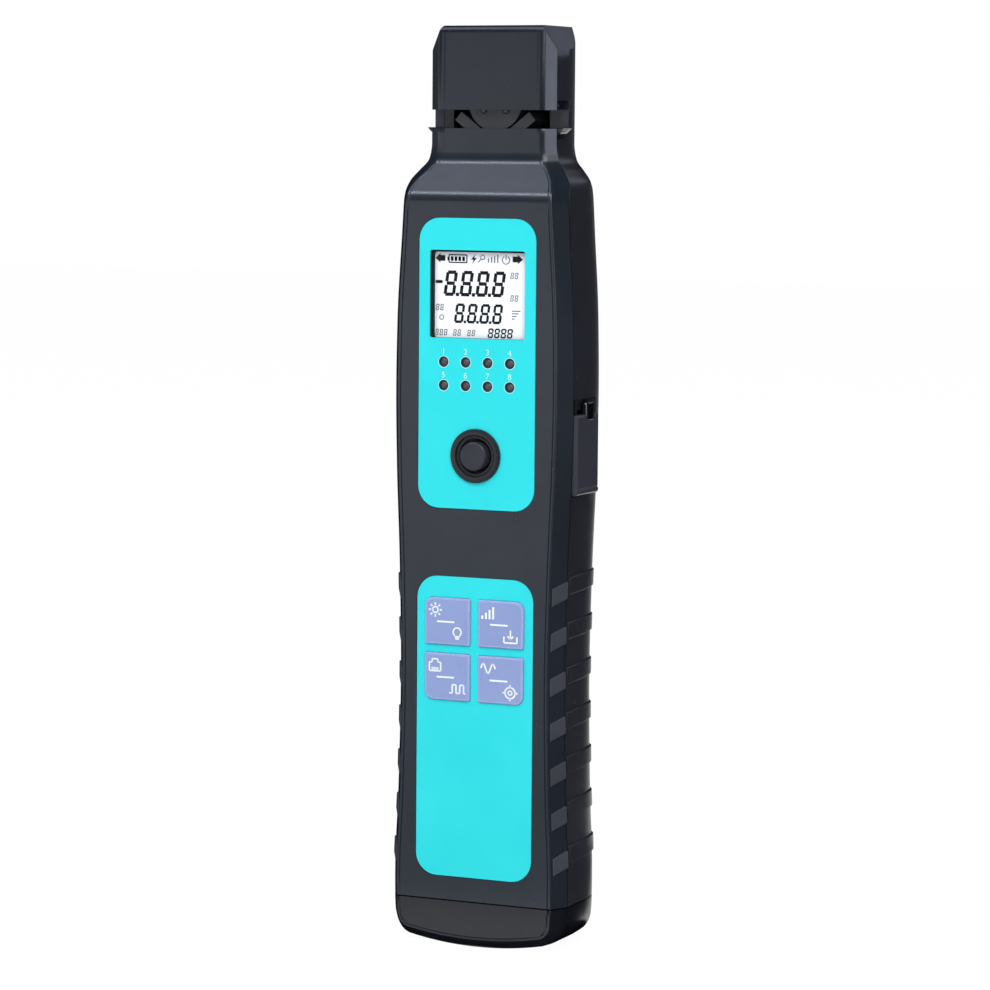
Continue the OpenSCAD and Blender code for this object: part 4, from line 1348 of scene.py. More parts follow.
@dataclass
class ControlFace(Part):
    """Printed labels, and the places of everything on them."""

    label_half: float = 15.12
    label_corner: float = 5.2
    label_t: float = 0.42
    labels: tuple[Point, ...] = ((17.2, 89.69), (106.3, 175.3))
    label_rise: float = 0.0
    label_edge: float = 0.12
    window: Sizes = (0.0, 157.35, 24.8, 20.9)
    window_corner: float = 0.6
    lamp_rows: Point = (135.6, 141.2)
    lamp_pitch: float = 5.76
    lamp_hole: float = 1.28
    button_z: float = 119.0
    ring_hole: float = 6.3
    sleeve_r: float = 4.55
    key_x: float = 7.0
    key_rows: Point = (65.59, 78.99)
    key_size: Point = (11.9, 11.3)
    key_corner: float = 2.1
    key_small: float = 0.5
    key_clear: float = 0.1
    key_shrink: float = 0.3
    label_grow: float = 0.12
    before: float = -1.0
    film_behind: float = 2.0
    shell_behind: float = 3.0

    def label_plate(self, low: float, high: float, front: float, back: float, grow: float,
                    edge: float = 0.0) -> BMesh:
        """Plate in the shape of a label between two heights and two depths, grown on each side."""
        return plate(0, (low + high) / 2, 2 * (self.label_half + grow), high - low + 2 * grow, front, back,
                     [self.label_corner + grow] * 4, edge, 2)

    def window_plate(self, front: float, back: float, grow: float) -> BMesh:
        """Plate in the shape of the display window."""
        x, z, w, h = self.window
        return plate(x, z, w + 2 * grow, h + 2 * grow, front, back, [self.window_corner] * 4)

    def key_place(self, corner: Corner) -> Point:
        """Middle of the key at one corner of the group."""
        sx, sz = corner.value
        return (sx * self.key_x, self.key_rows[(sz + 1) // 2])

    def key_plate(self, corner: Corner, front: float, back: float, grow: float, edge: float = 0.0) -> BMesh:
        """Plate in the shape of a key.

        Args:
            corner: The key's corner of the group.
            front: Depth of its front.
            back: Depth of its back.
            grow: How much larger it is than the key on each side.
            edge: Radius of its front edge.

        Returns:
            The plate.
        """
        rest = max(grow, -self.key_shrink)
        radii = [(self.key_corner if c is corner else self.key_small) + rest for c in Corner]
        w, h = (size + 2 * grow for size in self.key_size)
        return plate(*self.key_place(corner), w, h, front, back, radii, edge)

    def key_cutters(self) -> list[BMesh]:
        """Cutters of the four key openings."""
        return [self.key_plate(c, self.before, self.shell_behind, self.key_clear) for c in Corner]

    def lamp_places(self) -> list[Point]:
        """Places of the lamps, upper row first, from left to right."""
        return [((k - 1.5) * self.lamp_pitch, z) for z in reversed(self.lamp_rows) for k in range(4)]

    def build(self) -> None:
        """Build and dress both labels."""
        front, back, z = self.before, self.film_behind, self.button_z
        lamps = [rod(self.lamp_hole, at(x, front, h), at(x, back, h), steps=32)
                 for x, h in self.lamp_places()]
        button = rod(self.ring_hole, at(0, front, z), at(0, back, z), steps=64)
        cuts = {"lower_label": self.key_cutters(),
                "upper_label": [self.window_plate(front, back, 0.0), button, *lamps]}
        for (node, cutters), (low, high) in zip(cuts.items(), self.labels):
            film = self.label_plate(low, high, self.label_rise, self.label_t, self.label_grow,
                                    self.label_edge)
            piece(carved(film, cutters), f"{node}_film", self.skin["film"], stands_for=(node,))


@dataclass(frozen=True)
class Marks:
    """Flat printed marks, laid on a face as thin plates."""

    front: float
    thick: float = 0.03

    def shape(self, corners: Sequence[Point]) -> BMesh:
        """Filled shape through its corners."""
        return prism([at(x, self.front + self.thick, z) for x, z in corners], BACKWARD * (-self.thick * MM))

    def bar(self, start: Point, end: Point, width: float) -> BMesh:
        """Straight stroke between two places.

        Args:
            start: One end, as X and height.
            end: The other end.
            width: Width of the stroke.

        Returns:
            The stroke.
        """
        a, b = Vector(start), Vector(end)
        side = (b - a).orthogonal().normalized() * width / 2
        return self.shape([tuple(c) for c in (a + side, a - side, b - side, b + side)])

    def bars(self, ends: Iterable[tuple[Point, Point]], width: float) -> list[BMesh]:
        """Straight strokes of one width."""
        return [self.bar(a, b, width) for a, b in ends]

    def line(self, places: Sequence[Point], width: float, closed: bool = False) -> list[BMesh]:
        """Straight strokes from place to place, and back to the first where it is closed."""
        following = [*places[1:], places[0]] if closed else places[1:]
        return self.bars(zip(places, following), width)

    def arc(self, centre: Point, radius: float, width: float, span: Point = (0, 360),
            steps: int = 14) -> list[BMesh]:
        """Curved stroke, made of short straight ones.

        Args:
            centre: Centre of the curve.
            radius: Radius of the stroke's middle.
            width: Width of the stroke.
            span: Degrees where it starts and ends.
            steps: Number of straight strokes.

        Returns:
            The strokes.
        """
        angles = [math.radians(span[0] + (span[1] - span[0]) * k / steps) for k in range(steps + 1)]
        places = [(centre[0] + radius * math.cos(a), centre[1] + radius * math.sin(a)) for a in angles]
        return self.line(places, width)

    def numeral(self, text: str, x: float, z: float, height: float) -> BMesh:
        """Plain numeral from Blender's own font.

        Args:
            text: The numeral.
            x: Its middle.
            z: Its foot.
            height: Height of a digit.

        Returns:
            The numeral as a thin plate.
        """
        curve = bpy.data.curves.new("numeral", "FONT")
        curve.body, curve.align_x, curve.fill_mode = text, "CENTER", "BOTH"
        curve.extrude, curve.resolution_u = self.thick * MM / 2, 4
        digit_share = 0.72
        curve.size = height / digit_share * MM
        obj = bpy.data.objects.new("numeral", curve)
        bpy.context.scene.collection.objects.link(obj)
        bm = bmesh.new()
        bm.from_mesh(obj.to_mesh())
        obj.to_mesh_clear()
        bpy.data.objects.remove(obj)
        bpy.data.curves.remove(curve)
        place = Matrix.Translation(at(x, self.front + self.thick / 2, z))
        bmesh.ops.transform(bm, matrix=place @ Matrix.Rotation(math.pi / 2, 4, "X"), verts=bm.verts[:])
        return tidy(bm)


@dataclass
class Display(Part):
    """Liquid crystal display with its generic segments and symbols.

    A place on it is two shares of the viewing area, rightward and downward. A kind of digit is
    its width, height and stroke.
    """

    face: ControlFace
    pane: Sizes = (0.5, 1.3, -0.05)
    panel: Sizes = (2.0, 2.6, 0.25)
    surround: Sizes = (0.42, 2.3, 0.3)
    opening_back: float = 4.0
    rim: float = 0.22
    shift: float = -0.62
    slant: float = 0.14
    lift: float = 0.03
    big: Sizes = (3.05, 6.1, 0.84)
    middle: Sizes = (2.4, 4.7, 0.65)
    small: Sizes = (1.4, 2.3, 0.38)
    tiny: Sizes = (0.85, 1.5, 0.22)
    tiny_pitch: float = 0.046
    tiny_groups: tuple[Sizes, ...] = (
        (0.045, 0.905, 3), (0.235, 0.905, 2), (0.385, 0.905, 2), (0.835, 0.245, 2), (0.835, 0.5, 2),
        (0.05, 0.62, 2))

    @property
    def marks(self) -> Marks:
        """Marks laid on the front of the panel."""
        return Marks(self.panel[0] - self.lift)

    def spot(self, u: float, v: float) -> Point:
        """Turn a place on the display into X and height."""
        x, z, w, h = self.face.window
        return (x + self.shift + (u - 0.5) * w, z + (0.5 - v) * h)

    def digit(self, u: float, v: float, kind: Sizes, point: bool = False) -> list[BMesh]:
        """Seven segments that show an eight, with an optional decimal point.

        Args:
            u: Place of its left edge.
            v: Place of its top.
            kind: Its width, height and stroke.
            point: Whether a decimal point follows.

        Returns:
            The segments.
        """
        width, height, stroke = kind
        x0, top = self.spot(u, v)
        foot, half, gap = top - height, height / 2, stroke * 0.55

        def lean(p: Point) -> Point:
            """Slant a place of the upright digit."""
            return (x0 + p[0] + p[1] * self.slant, foot + p[1])

        rows = [((gap, y), (width - gap, y)) for y in (stroke / 2, half, height - stroke / 2)]
        columns = [((x, y0 + gap), (x, y0 + half - gap))
                   for x in (stroke / 2, width - stroke / 2) for y0 in (0.0, half)]
        parts = self.marks.bars([(lean(a), lean(b)) for a, b in rows + columns], stroke)
        if point:
            x, z = lean((width + stroke * 0.75, stroke / 2))
            parts.append(self.marks.bar((x - stroke / 2, z), (x + stroke / 2, z), stroke))
        return parts

    def digit_rows(self) -> list[BMesh]:
        """The minus sign and the three rows of four digits, with three decimal points in two of them.

        Returns:
            The segments.
        """
        parts = [self.marks.bar(self.spot(0.048, 0.365), self.spot(0.122, 0.365), 0.75)]
        rows = ((0.13, 0.169, 0.235, self.big, 3), (0.243, 0.1335, 0.608, self.middle, 3),
                (0.6, 0.0675, 0.882, self.small, 0))
        for k in range(4):
            for u, pitch, v, kind, points in rows:
                parts += self.digit(u + k * pitch, v, kind, k < points)
        return parts

    def small_marks(self) -> list[BMesh]:
        """Small pale digits, a circle and ticks that stand where a meter shows its units.

        Returns:
            The marks.
        """
        parts = []
        for u, v, count in self.tiny_groups:
            for k in range(count):
                parts += self.digit(u + k * self.tiny_pitch, v, self.tiny)
        parts += self.marks.arc(self.spot(0.115, 0.77), 0.55, 0.2, steps=12)
        x, z = self.spot(0.9, 0.68)
        ticks = [((x - 1.1, z - 0.62 * k), (x + 1.1 - 0.5 * k, z - 0.62 * k)) for k in range(4)]
        return parts + self.marks.bars(ticks, 0.26)

    def arrow(self, tip_u: float, tail_u: float) -> BMesh:
        """Solid arrow in the top row.

        Args:
            tip_u: Place of its tip.
            tail_u: Place of its tail.

        Returns:
            The arrow.
        """
        (tip, z), (tail, _) = self.spot(tip_u, 0.095), self.spot(tail_u, 0.095)
        neck, wide, thin = tip + (tail - tip) * 0.5, 1.1, 0.68
        return self.marks.shape([(tip, z), (neck, z + wide), (neck, z + thin), (tail, z + thin),
                                 (tail, z - thin), (neck, z - thin), (neck, z - wide)])

    def symbols(self) -> list[BMesh]:
        """The top row's heavy symbols: two arrows, a full battery and a bolt.

        Returns:
            The symbols.
        """
        (x0, z), (x1, _) = self.spot(0.19, 0.1), self.spot(0.378, 0.1)
        line, half = 0.3, 0.9
        case = self.marks.line([(x0, z - half), (x1, z - half), (x1, z + half), (x0, z + half)], line, True)
        pole = self.marks.bar((x0 - 0.28, z - half / 2), (x0 - 0.28, z + half / 2), line)
        cells = [((x0 + 0.8 + k * 1.0, z - 0.55), (x0 + 0.8 + k * 1.0, z + 0.55)) for k in range(4)]
        bx, bz = self.spot(0.452, 0.1)
        bolt = self.marks.shape([(bx + 0.5, bz + 1.2), (bx - 0.75, bz - 0.15), (bx - 0.05, bz - 0.15),
                                 (bx - 0.5, bz - 1.2), (bx + 0.75, bz + 0.25), (bx + 0.05, bz + 0.25)])
        return [self.arrow(0.046, 0.15), self.arrow(0.967, 0.86), *case, pole,
                *self.marks.bars(cells, 0.7), bolt]

    def thin_symbols(self) -> list[BMesh]:
        """The top row's thin symbols: a lens on a handle, four ticks and a power sign.

        Returns:
            The symbols.
        """
        kx, kz = self.spot(0.545, 0.08)
        parts = self.marks.arc((kx, kz), 0.55, 0.2)
        parts.append(self.marks.bar((kx - 0.4, kz - 0.4), (kx - 1.2, kz - 1.2), 0.24))
        tx, tz = self.spot(0.655, 0.1)
        ticks = [((tx - 1.2 + 0.8 * k, tz - 0.8), (tx - 1.2 + 0.8 * k, tz + 0.2 + 0.3 * k)) for k in range(4)]
        px, pz = self.spot(0.79, 0.105)
        return [*parts, *self.marks.bars(ticks, 0.3), *self.marks.arc((px, pz), 0.95, 0.24, (120, 420), 20),
                self.marks.bar((px, pz + 0.1), (px, pz + 1.3), 0.24)]

    def build(self) -> None:
        """Build and dress the pane, its dark surround that paints the recess's shade along the window's left
        and top, the panel and its marks.
        """
        face = self.face
        pane = face.window_plate(*self.pane)
        piece(pane, "display_window", self.skin["clear"], stands_for=("display_pane",))
        # Painted shade: a black ring behind the window whose opening is shifted right and down, so that it
        # darkens only the window's left and top edges as the recess's shade.
        opening = face.window_plate(face.before, self.opening_back, -self.rim)
        bmesh.ops.translate(opening, vec=Vector((self.rim, 0, -self.rim)) * MM, verts=opening.verts)
        ring = carved(face.window_plate(*self.surround), [opening])
        piece(ring, "display_recess_shade_ring", self.skin["surround"])
        piece(face.window_plate(*self.panel), "display_panel", self.skin["glass"])
        heavy = joined(self.digit_rows() + self.symbols())
        piece(heavy, "display_segments", self.skin["segment"])
        pale = joined(self.small_marks() + self.thin_symbols())
        piece(pale, "display_small_marks", self.skin["pale_segment"])


@dataclass
class Lamps(Part):
    """Eight indicator lamps in two rows, with their numerals."""

    face: ControlFace
    bead_r: float = 0.98
    bead_front: float = 0.16
    bead_back: float = 7.9
    bezel: Sizes = (1.0, 1.27, 0.12, 3.0)
    highlight_ring: Point = (1.37, 0.13)
    numeral_rise: float = 1.8
    numeral_h: float = 1.42
    mark_lift: float = 0.03
    facets: int = 32

    def each(self, profile: Sequence[Point]) -> BMesh:
        """Turn one profile at every lamp's place."""
        return joined(turned(profile, at(x, 0, z), BACKWARD, self.facets) for x, z in self.face.lamp_places())

    def build(self) -> None:
        """Build and dress the lamps, their bezels, the painted pale highlight rims round their holes and the
        numerals above them.
        """
        r, f, end = self.bead_r, self.bead_front, self.bead_back
        bead = [(0.0, f), (r * 0.4, f + 0.03), (r * 0.72, f + 0.16), (r * 0.92, f + 0.36), (r, f + 0.62),
                (r, end), (0.0, end)]
        piece(self.each(bead), "lamp_beads", self.skin["lamp"], stands_for=("indicator_lamps",))
        inner, outer, front, back = self.bezel
        ring = [(inner, front + 0.2), (inner + 0.06, front), (outer - 0.06, front), (outer, front + 0.08),
                (outer, back), (inner, back), (inner, front + 0.2)]
        piece(self.each(ring), "lamp_bezels", self.skin["bezel"])
        marks, places = Marks(self.face.label_rise - self.mark_lift), self.face.lamp_places()
        # Painted highlight: thin pale rings printed round the lamp holes stand for light caught on the film's
        # raised hole edges.
        rims = joined(part for place in places for part in marks.arc(place, *self.highlight_ring, steps=28))
        piece(rims, "lamp_hole_highlight_rims", self.skin["pale_print"])
        numerals = joined(marks.numeral(str(k + 1), x, z + self.numeral_rise, self.numeral_h)
                          for k, (x, z) in enumerate(places))
        piece(numerals, "lamp_numerals", self.skin["pale_print"])


@dataclass
class ClampButton(Part):
    """Push button that lifts the clamp, and the stepped ring round it."""

    face: ControlFace
    ring_r: float = 6.5
    ring_out: float = 0.9
    step_r: float = 4.85
    moat_r: float = 4.2
    bore_r: float = 3.72
    cap_r: float = 3.4
    cap_out: float = 1.9
    cap_back: float = 4.3
    sleeve_back: float = 4.2
    clear: float = 0.05
    seat: float = 0.02
    stem_r: float = 1.8
    stem: Point = (5.4, 8.1)
    fin_half: float = 1.5
    fin: Sizes = (7.1, 8.1, 13.3)
    fin_rise: Sizes = (-1.5, -0.6, 5.9)

    def ring_profile(self) -> list[Point]:
        """Section of the stepped ring, as radius and depth.

        Returns:
            A closed outline.
        """
        r, out, step, bore, moat = self.ring_r, -self.ring_out, self.step_r, self.bore_r, self.moat_r
        sleeve, seat, back = self.face.sleeve_r - self.clear, self.seat, self.sleeve_back
        return [(bore, out + 2.0), (moat - 0.1, out + 1.9), (moat, out + 1.7), (moat, out + 0.6),
                (moat + 0.1, out + 0.5), (step - 0.14, out + 0.46), (step - 0.04, out + 0.55),
                (step, out + 0.7), (step + 0.1, out + 0.7), (step + 0.2, out + 0.1), (step + 0.3, out),
                (r - 0.5, out), (r - 0.24, out + 0.07), (r - 0.05, out + 0.28), (r, out + 0.6), (r, seat),
                (sleeve, seat), (sleeve, back), (bore, back), (bore, out + 2.0)]

    def build(self) -> None:
        """Build and dress the ring and the button with its flange, stem and fin."""
        mid = self.face.button_z
        centre = at(0, 0, mid)
        ring = turned(self.ring_profile(), centre, BACKWARD, 96)
        piece(ring, "button_bezel", self.skin["ring"], stands_for=("button_ring",))
        c, front, back = self.cap_r, -self.cap_out, self.cap_back
        cap = [(0.0, front + 0.1), (c * 0.55, front + 0.08), (c - 0.62, front + 0.02), (c - 0.4, front),
               (c - 0.2, front + 0.06), (c - 0.05, front + 0.2), (c, front + 0.42), (c, back), (0.0, back)]
        flange = [(0.0, 4.4), (4.9, 4.4), (5.0, 4.5), (5.0, 5.3), (4.9, 5.4), (0.0, 5.4)]
        start, end = self.stem
        stem = rod(self.stem_r, at(0, start, mid), at(0, end, mid), 0.1)
        near, bend, far = self.fin
        low, lip, top = (mid + rise for rise in self.fin_rise)
        side = ((near, low), (far, low), (far, lip), (bend, top), (bend, mid), (near, mid))
        fin = prism([at(-self.fin_half, y, z) for y, z in side], Vector((2 * self.fin_half * MM, 0, 0)))
        parts = [turned(cap, centre, BACKWARD, 96), turned(flange, centre, BACKWARD, 64), stem, fin]
        piece(joined(parts), "button_cap", self.skin["button"], Body.BUTTON, ("clamp_button",))


@dataclass
class Keys(Part):
    """Four translucent keys with generic white symbols."""

    face: ControlFace
    out: float = 0.6
    edge: float = 0.34
    rim: float = 0.5
    flange: Point = (2.2, 3.0)
    overlap: float = 0.1
    window: Sizes = (-0.035, 0.02, -0.55)
    peg_r: float = 1.5
    peg_end: float = 3.5
    stroke: float = 0.38
    divider: Sizes = (4.6, 0.42, -0.35, -0.1)
    upper: Point = (-3.1, 2.7)
    lower: Point = (2.7, -2.8)
    mark: Point = (0.07, 0.04)
    bodies: tuple[tuple[Corner, Body], ...] = (
        (Corner.UPPER_LEFT, Body.LASER_KEY), (Corner.UPPER_RIGHT, Body.SAVE_KEY),
        (Corner.LOWER_LEFT, Body.CABLE_KEY), (Corner.LOWER_RIGHT, Body.WAVE_KEY))

    def symbols(self, body: Body, x: float, z: float) -> list[BMesh]:
        """White symbols of one key, above and below its divider.

        Args:
            body: The key.
            x: Its middle.
            z: Its middle.

        Returns:
            The strokes.
        """
        rise, thick = self.mark
        marks, s = Marks(-self.out - rise, thick), self.stroke
        length, line, shift, drop = self.divider
        parts = [marks.bar((x - length / 2 + shift, z + drop), (x + length / 2 + shift, z + drop), line)]
        ux, uz, lx, lz = x + self.upper[0], z + self.upper[1], x + self.lower[0], z + self.lower[1]
        if body is Body.LASER_KEY:
            turns = [(math.cos(a), math.sin(a)) for a in (math.tau * k / 8 for k in range(8))]
            rays = [((ux + 1.15 * c, uz + 1.15 * d), (ux + 1.75 * c, uz + 1.75 * d)) for c, d in turns]
            rungs = [((lx - w, lz + y), (lx + w, lz + y)) for w, y in ((0.66, -0.75), (0.5, -1.25))]
            parts += [*marks.arc((ux, uz), 0.72, s), *marks.bars(rays, s),
                      *marks.arc((lx, lz + 0.35), 1.05, s, (-50, 230)), *marks.bars(rungs, s)]
        elif body is Body.SAVE_KEY:
            levels = [(ux - 1.6 + k * 0.95, uz - 1.5, uz - 0.7 + k * 0.72) for k in range(4)]
            tray = [(lx - 1.7, lz + 0.1), (lx - 1.7, lz - 1.4), (lx + 1.7, lz - 1.4), (lx + 1.7, lz + 0.1)]
            head = [(lx - 0.75, lz + 0.2), (lx, lz - 0.6), (lx + 0.75, lz + 0.2)]
            parts += [*marks.bars([((a, low), (a, high)) for a, low, high in levels], 0.5),
                      *marks.line(tray, s), marks.bar((lx, lz + 1.6), (lx, lz - 0.55), s),
                      *marks.line(head, s)]
        elif body is Body.CABLE_KEY:
            plug = ((-1.5, -1.4), (1.5, -1.4), (1.5, 0.7), (0.75, 0.7), (0.75, 1.5), (-0.75, 1.5),
                    (-0.75, 0.7), (-1.5, 0.7))
            contacts = [((ux + dx, uz - 1.3), (ux + dx, uz - 0.5)) for dx in (-0.75, -0.25, 0.25, 0.75)]
            pulses = ((-2.0, -1.0), (-1.2, -1.0), (-1.2, 1.0), (-0.2, 1.0), (-0.2, -1.0), (0.8, -1.0),
                      (0.8, 1.0), (1.8, 1.0), (1.8, -1.0), (2.3, -1.0))
            parts += [*marks.line([(ux + dx, uz + dz) for dx, dz in plug], s, True),
                      *marks.bars(contacts, s * 0.8),
                      *marks.line([(lx + dx, lz + dz) for dx, dz in pulses], s)]
        else:
            wave = [(ux - 1.9 + k * 0.19, uz + 1.15 * math.sin(math.tau * k / 20 * 1.5)) for k in range(21)]
            hairs = [((lx + c * 1.35, lz + d * 1.35), (lx + c * 1.95, lz + d * 1.95))
                     for c, d in ((1, 0), (-1, 0), (0, 1), (0, -1))]
            parts += [*marks.line(wave, s), *marks.arc((lx, lz), 1.35, s),
                      *marks.arc((lx, lz), 0.5, s, steps=10), *marks.bars(hairs, s)]
        return parts

    def build(self) -> None:
        """Build and dress the four keys."""
        face, (front, back) = self.face, self.flange
        above, below, inset = self.window
        for corner, body in self.bodies:
            x, z = face.key_place(corner)
            name = body.value.removesuffix("_body")
            cap = face.key_plate(corner, -self.out, front + self.overlap, 0.0, self.edge)
            flange = face.key_plate(corner, front, back, self.rim)
            peg = rod(self.peg_r, at(x, back - self.overlap, z), at(x, self.peg_end, z), 0.15, 32)
            piece(joined([cap, flange, peg]), f"{name}_body", self.skin["key"], body, (name,))
            window = face.key_plate(corner, -self.out + above, -self.out + below, inset)
            piece(window, f"{name}_face", self.skin["key_top"], body)
            piece(joined(self.symbols(body, x, z)), f"{name}_symbols", self.skin["white"], body)


def softened(node: str, name: str, material: Material, soft: float,
             body: Body = Body.CASE) -> None:
    """Stand in for a CAD node with a merged copy that has softened edges.

    Args:
        node: The CAD node.
        name: Name of the piece.
        material: Its finish.
        soft: Radius of its edges in millimetres.
        body: The CAD body it moves with.
    """
    merge, flat_deg = 2e-6, 0.6
    bm = bmesh.new()
    bm.from_mesh(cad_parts[node].data)
    bmesh.ops.remove_doubles(bm, verts=bm.verts[:], dist=merge)
    bmesh.ops.dissolve_limit(bm, angle_limit=math.radians(flat_deg), verts=bm.verts[:], edges=bm.edges[:])
    piece(bm, name, material, body, (node,), soft=soft)


@dataclass
class ClampHead(Part):
    """Mechanism in the fibre slot: guide block, bending mandrel, pins, bar and spring."""

    spring_x: float = 2.6
    wire_r: float = 0.35
    curls: int = 4
    curl_steps: int = 24
    wire_sides: int = 8
    spring_z: Point = (207.42, 216.58)
    spring_depth: float = 14.25
    lift: float = 4.0
    pin_x: float = 2.9
    pin_z: float = 201.0
    pin_r: float = 0.85
    pin_front: float = 9.5
    pin_length: float = 1.5

    def spring(self) -> BMesh:
        """Round wire wound into the press spring, swept ring by ring along its helix.

        Returns:
            A closed mesh.
        """
        low, high = self.spring_z
        steps, r = self.curls * self.curl_steps, self.spring_x
        rise = (high - low) / self.curls / math.tau
        rings = []
        for k in range(steps + 1):
            a = math.tau * k / self.curl_steps
            centre = at(r * math.cos(a), self.spring_depth + r * math.sin(a), low + (high - low) * k / steps)
            outward = Vector((math.cos(a), math.sin(a), 0))
            along = Vector((-r * math.sin(a), r * math.cos(a), rise)).normalized()
            across = along.cross(outward)
            rings.append([centre + (outward * math.cos(b) + across * math.sin(b)) * self.wire_r * MM
                          for b in (math.tau * j / self.wire_sides for j in range(self.wire_sides))])
        return loft(rings)

    def build(self) -> None:
        """Build and dress the mechanism."""
        steel = self.skin["steel"]
        softened("guide_block", "fibre_guide", self.skin["moulding"], 0.12)
        softened("bend_mandrel", "bending_mandrel", self.skin["moulding"], 0.15, Body.PRESS)
        softened("lift_bar", "clamp_lift_bar", steel, 0.15, Body.PRESS)
        r, end = self.pin_r, self.pin_length
        pin = [(0.0, 0.0), (r * 0.6, 0.0), (r - 0.12, 0.06), (r, 0.2), (r, end), (0.0, end)]
        pins = [turned(pin, at(s * self.pin_x, self.pin_front, self.pin_z), BACKWARD, 32) for s in SIDES]
        piece(joined(pins), "pressing_pins", steel, Body.PRESS, ("mandrel_pins",))
        coil = piece(self.spring(), "press_coil_spring", steel, Body.PRESS, ("press_spring",),
                     sharp_deg=60)
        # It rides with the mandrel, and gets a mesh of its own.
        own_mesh(coil)
        dress("detector_cans", self.skin["lens"])


@dataclass
class SideSockets(Part):
    """Network socket and charging socket, and the rubber cover that closes them."""

    depths: Point = (5.1, 18.66)
    low_z: float = 109.9
    inner_x: float = 22.15
    outer_x: float = 24.0
    levels: tuple[Point, ...] = ((0.6, 1.0), (1.75, 0.0), (18.65, 0.0), (19.2, 0.5))
    front_lean: Point = (0.8, 0.65)
    back_lean: Point = (0.5, 0.9)
    knob: Sizes = (22.4, 10.7, 127.4, 24.2, 15.3, 132.2)
    knob_round: float = 0.85
    hinge: Point = (23.075, 110.82)
    hinge_r: float = 0.925
    hinge_gap: float = 0.3
    contacts: int = 8
    contact_r: float = 0.17
    contact_x: Point = (9.0, 18.6)
    contact_depths: Point = (11.4, 12.2)
    contact_z: float = 118.65
    contact_pitch: float = 1.02

    def cover(self) -> BMesh:
        """The cover's plate with its slanted front strip, and its hinge roll.

        Returns:
            Both as one mesh.
        """
        (d0, d1), x0 = self.depths, self.inner_x
        (lean_x, lean_d), (back_x, back_d) = self.front_lean, self.back_lean
        rings = []
        for rise, inward in self.levels:
            w = self.outer_x - inward
            section = [(x0, d0), (w - lean_x, d0), (w, d0 + lean_d), (w, d1 - back_d), (w - back_x, d1),
                       (x0, d1)]
            rings.append([at(x, d, self.low_z + rise) for x, d in section])
        hx, hz = self.hinge
        roll = rod(self.hinge_r, at(hx, d0 + self.hinge_gap, hz), at(hx, d1 - self.hinge_gap, hz), 0.25, 40)
        return joined([loft(rings), roll])

    def build(self) -> None:
        """Build and dress the cover, its pull knob and the sockets."""
        piece(self.cover(), "side_port_cover", self.skin["cover"], Body.COVER, ("port_cover",),
              soft=0.14)
        grip = slab(self.knob, edge=self.knob_round, steps=4)
        piece(grip, "cover_pull_knob", self.skin["knob"], Body.COVER)
        softened("network_socket", "network_jack", self.skin["switch"], 0.12)
        softened("charge_socket", "charging_port", self.skin["switch"], 0.1)
        (x0, x1), (d0, d1), middle = self.contact_x, self.contact_depths, (self.contacts - 1) / 2
        heights = [self.contact_z + (k - middle) * self.contact_pitch for k in range(self.contacts)]
        pins = joined(rod(self.contact_r, at(x0, d0, z), at(x1, d1, z), 0.05, 12) for z in heights)
        piece(pins, "network_contacts", self.skin["gold"])


@dataclass
class BottomPorts(Part):
    """Laser port, power meter port and torch lamp in the end cap."""

    bore_r: float = 1.26
    bore_depth: float = 9.0
    top: float = 14.4
    depth: float = 13.5
    clear: float = 0.02
    ports: tuple[tuple[str, float, float], ...] = (("laser_port", 3.0, -10.0), ("meter_port", 4.2, 0.0))

    def sleeve(self, radius: float, x: float, foot: float) -> BMesh:
        """Turned port sleeve with a chamfered bore.

        Args:
            radius: Outer radius of the CAD's port.
            x: Sideways place.
            foot: Height of its mouth.

        Returns:
            A closed mesh.
        """
        b, r, end = self.bore_r, radius - self.clear, foot + self.bore_depth
        profile = [(b, foot + 0.35), (b + 0.35, foot), (radius - 0.3, foot), (r, foot + 0.3), (r, self.top),
                   (0.0, self.top), (0.0, end), (b, end), (b, foot + 0.35)]
        return turned(profile, at(x, self.depth, 0), UPWARD, 48)

    def build(self) -> None:
        """Build and dress the ports and the torch lamp."""
        for node, radius, x in self.ports:
            sleeve = self.sleeve(radius, x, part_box(node)[0][2] / MM)
            piece(sleeve, f"{node}_sleeve", self.skin["nickel"], stands_for=(node,))
        softened("torch_lamp", "torch_bulb", self.skin["lens"], 0.06)


@dataclass
class BackScrews(Part):
    """Six case screws with cross recesses, seen in the back."""

    rear: RearShell
    head_r: float = 1.68
    head_back: float = 25.3
    tip: float = 3.4
    tip_r: float = 0.35
    shank_r: float = 0.83
    cross: Sizes = (0.95, 0.2, 0.75)

    def screw(self, x: float, z: float) -> BMesh:
        """One screw: a shank, a domed head and a cross recess.

        Args:
            x: Its place.
            z: Its place.

        Returns:
            A closed mesh.
        """
        r, s, b, tip, thin = self.head_r, self.rear.screw_seat, self.head_back, self.tip, self.shank_r
        profile = [(0.0, tip), (self.tip_r, tip), (thin, tip + 1.0), (thin, s), (r, s), (r, b - 0.7),
                   (r * 0.9, b - 0.35), (r * 0.6, b - 0.08), (0.0, b)]
        arm, slot, deep = self.cross
        cuts = [block(at(x - w, b - deep, z - h), at(x + w, b + 1, z + h))
                for w, h in ((arm, slot), (slot, arm))]
        return carved(turned(profile, at(x, 0, z), BACKWARD, 32), cuts)

    def build(self) -> None:
        """Build and dress the screws."""
        screws = joined(self.screw(s * self.rear.screw_x, z) for s in SIDES for z in self.rear.screw_rows)
        piece(screws, "back_screws", self.skin["steel"], stands_for=("case_screws",), sharp_deg=40)


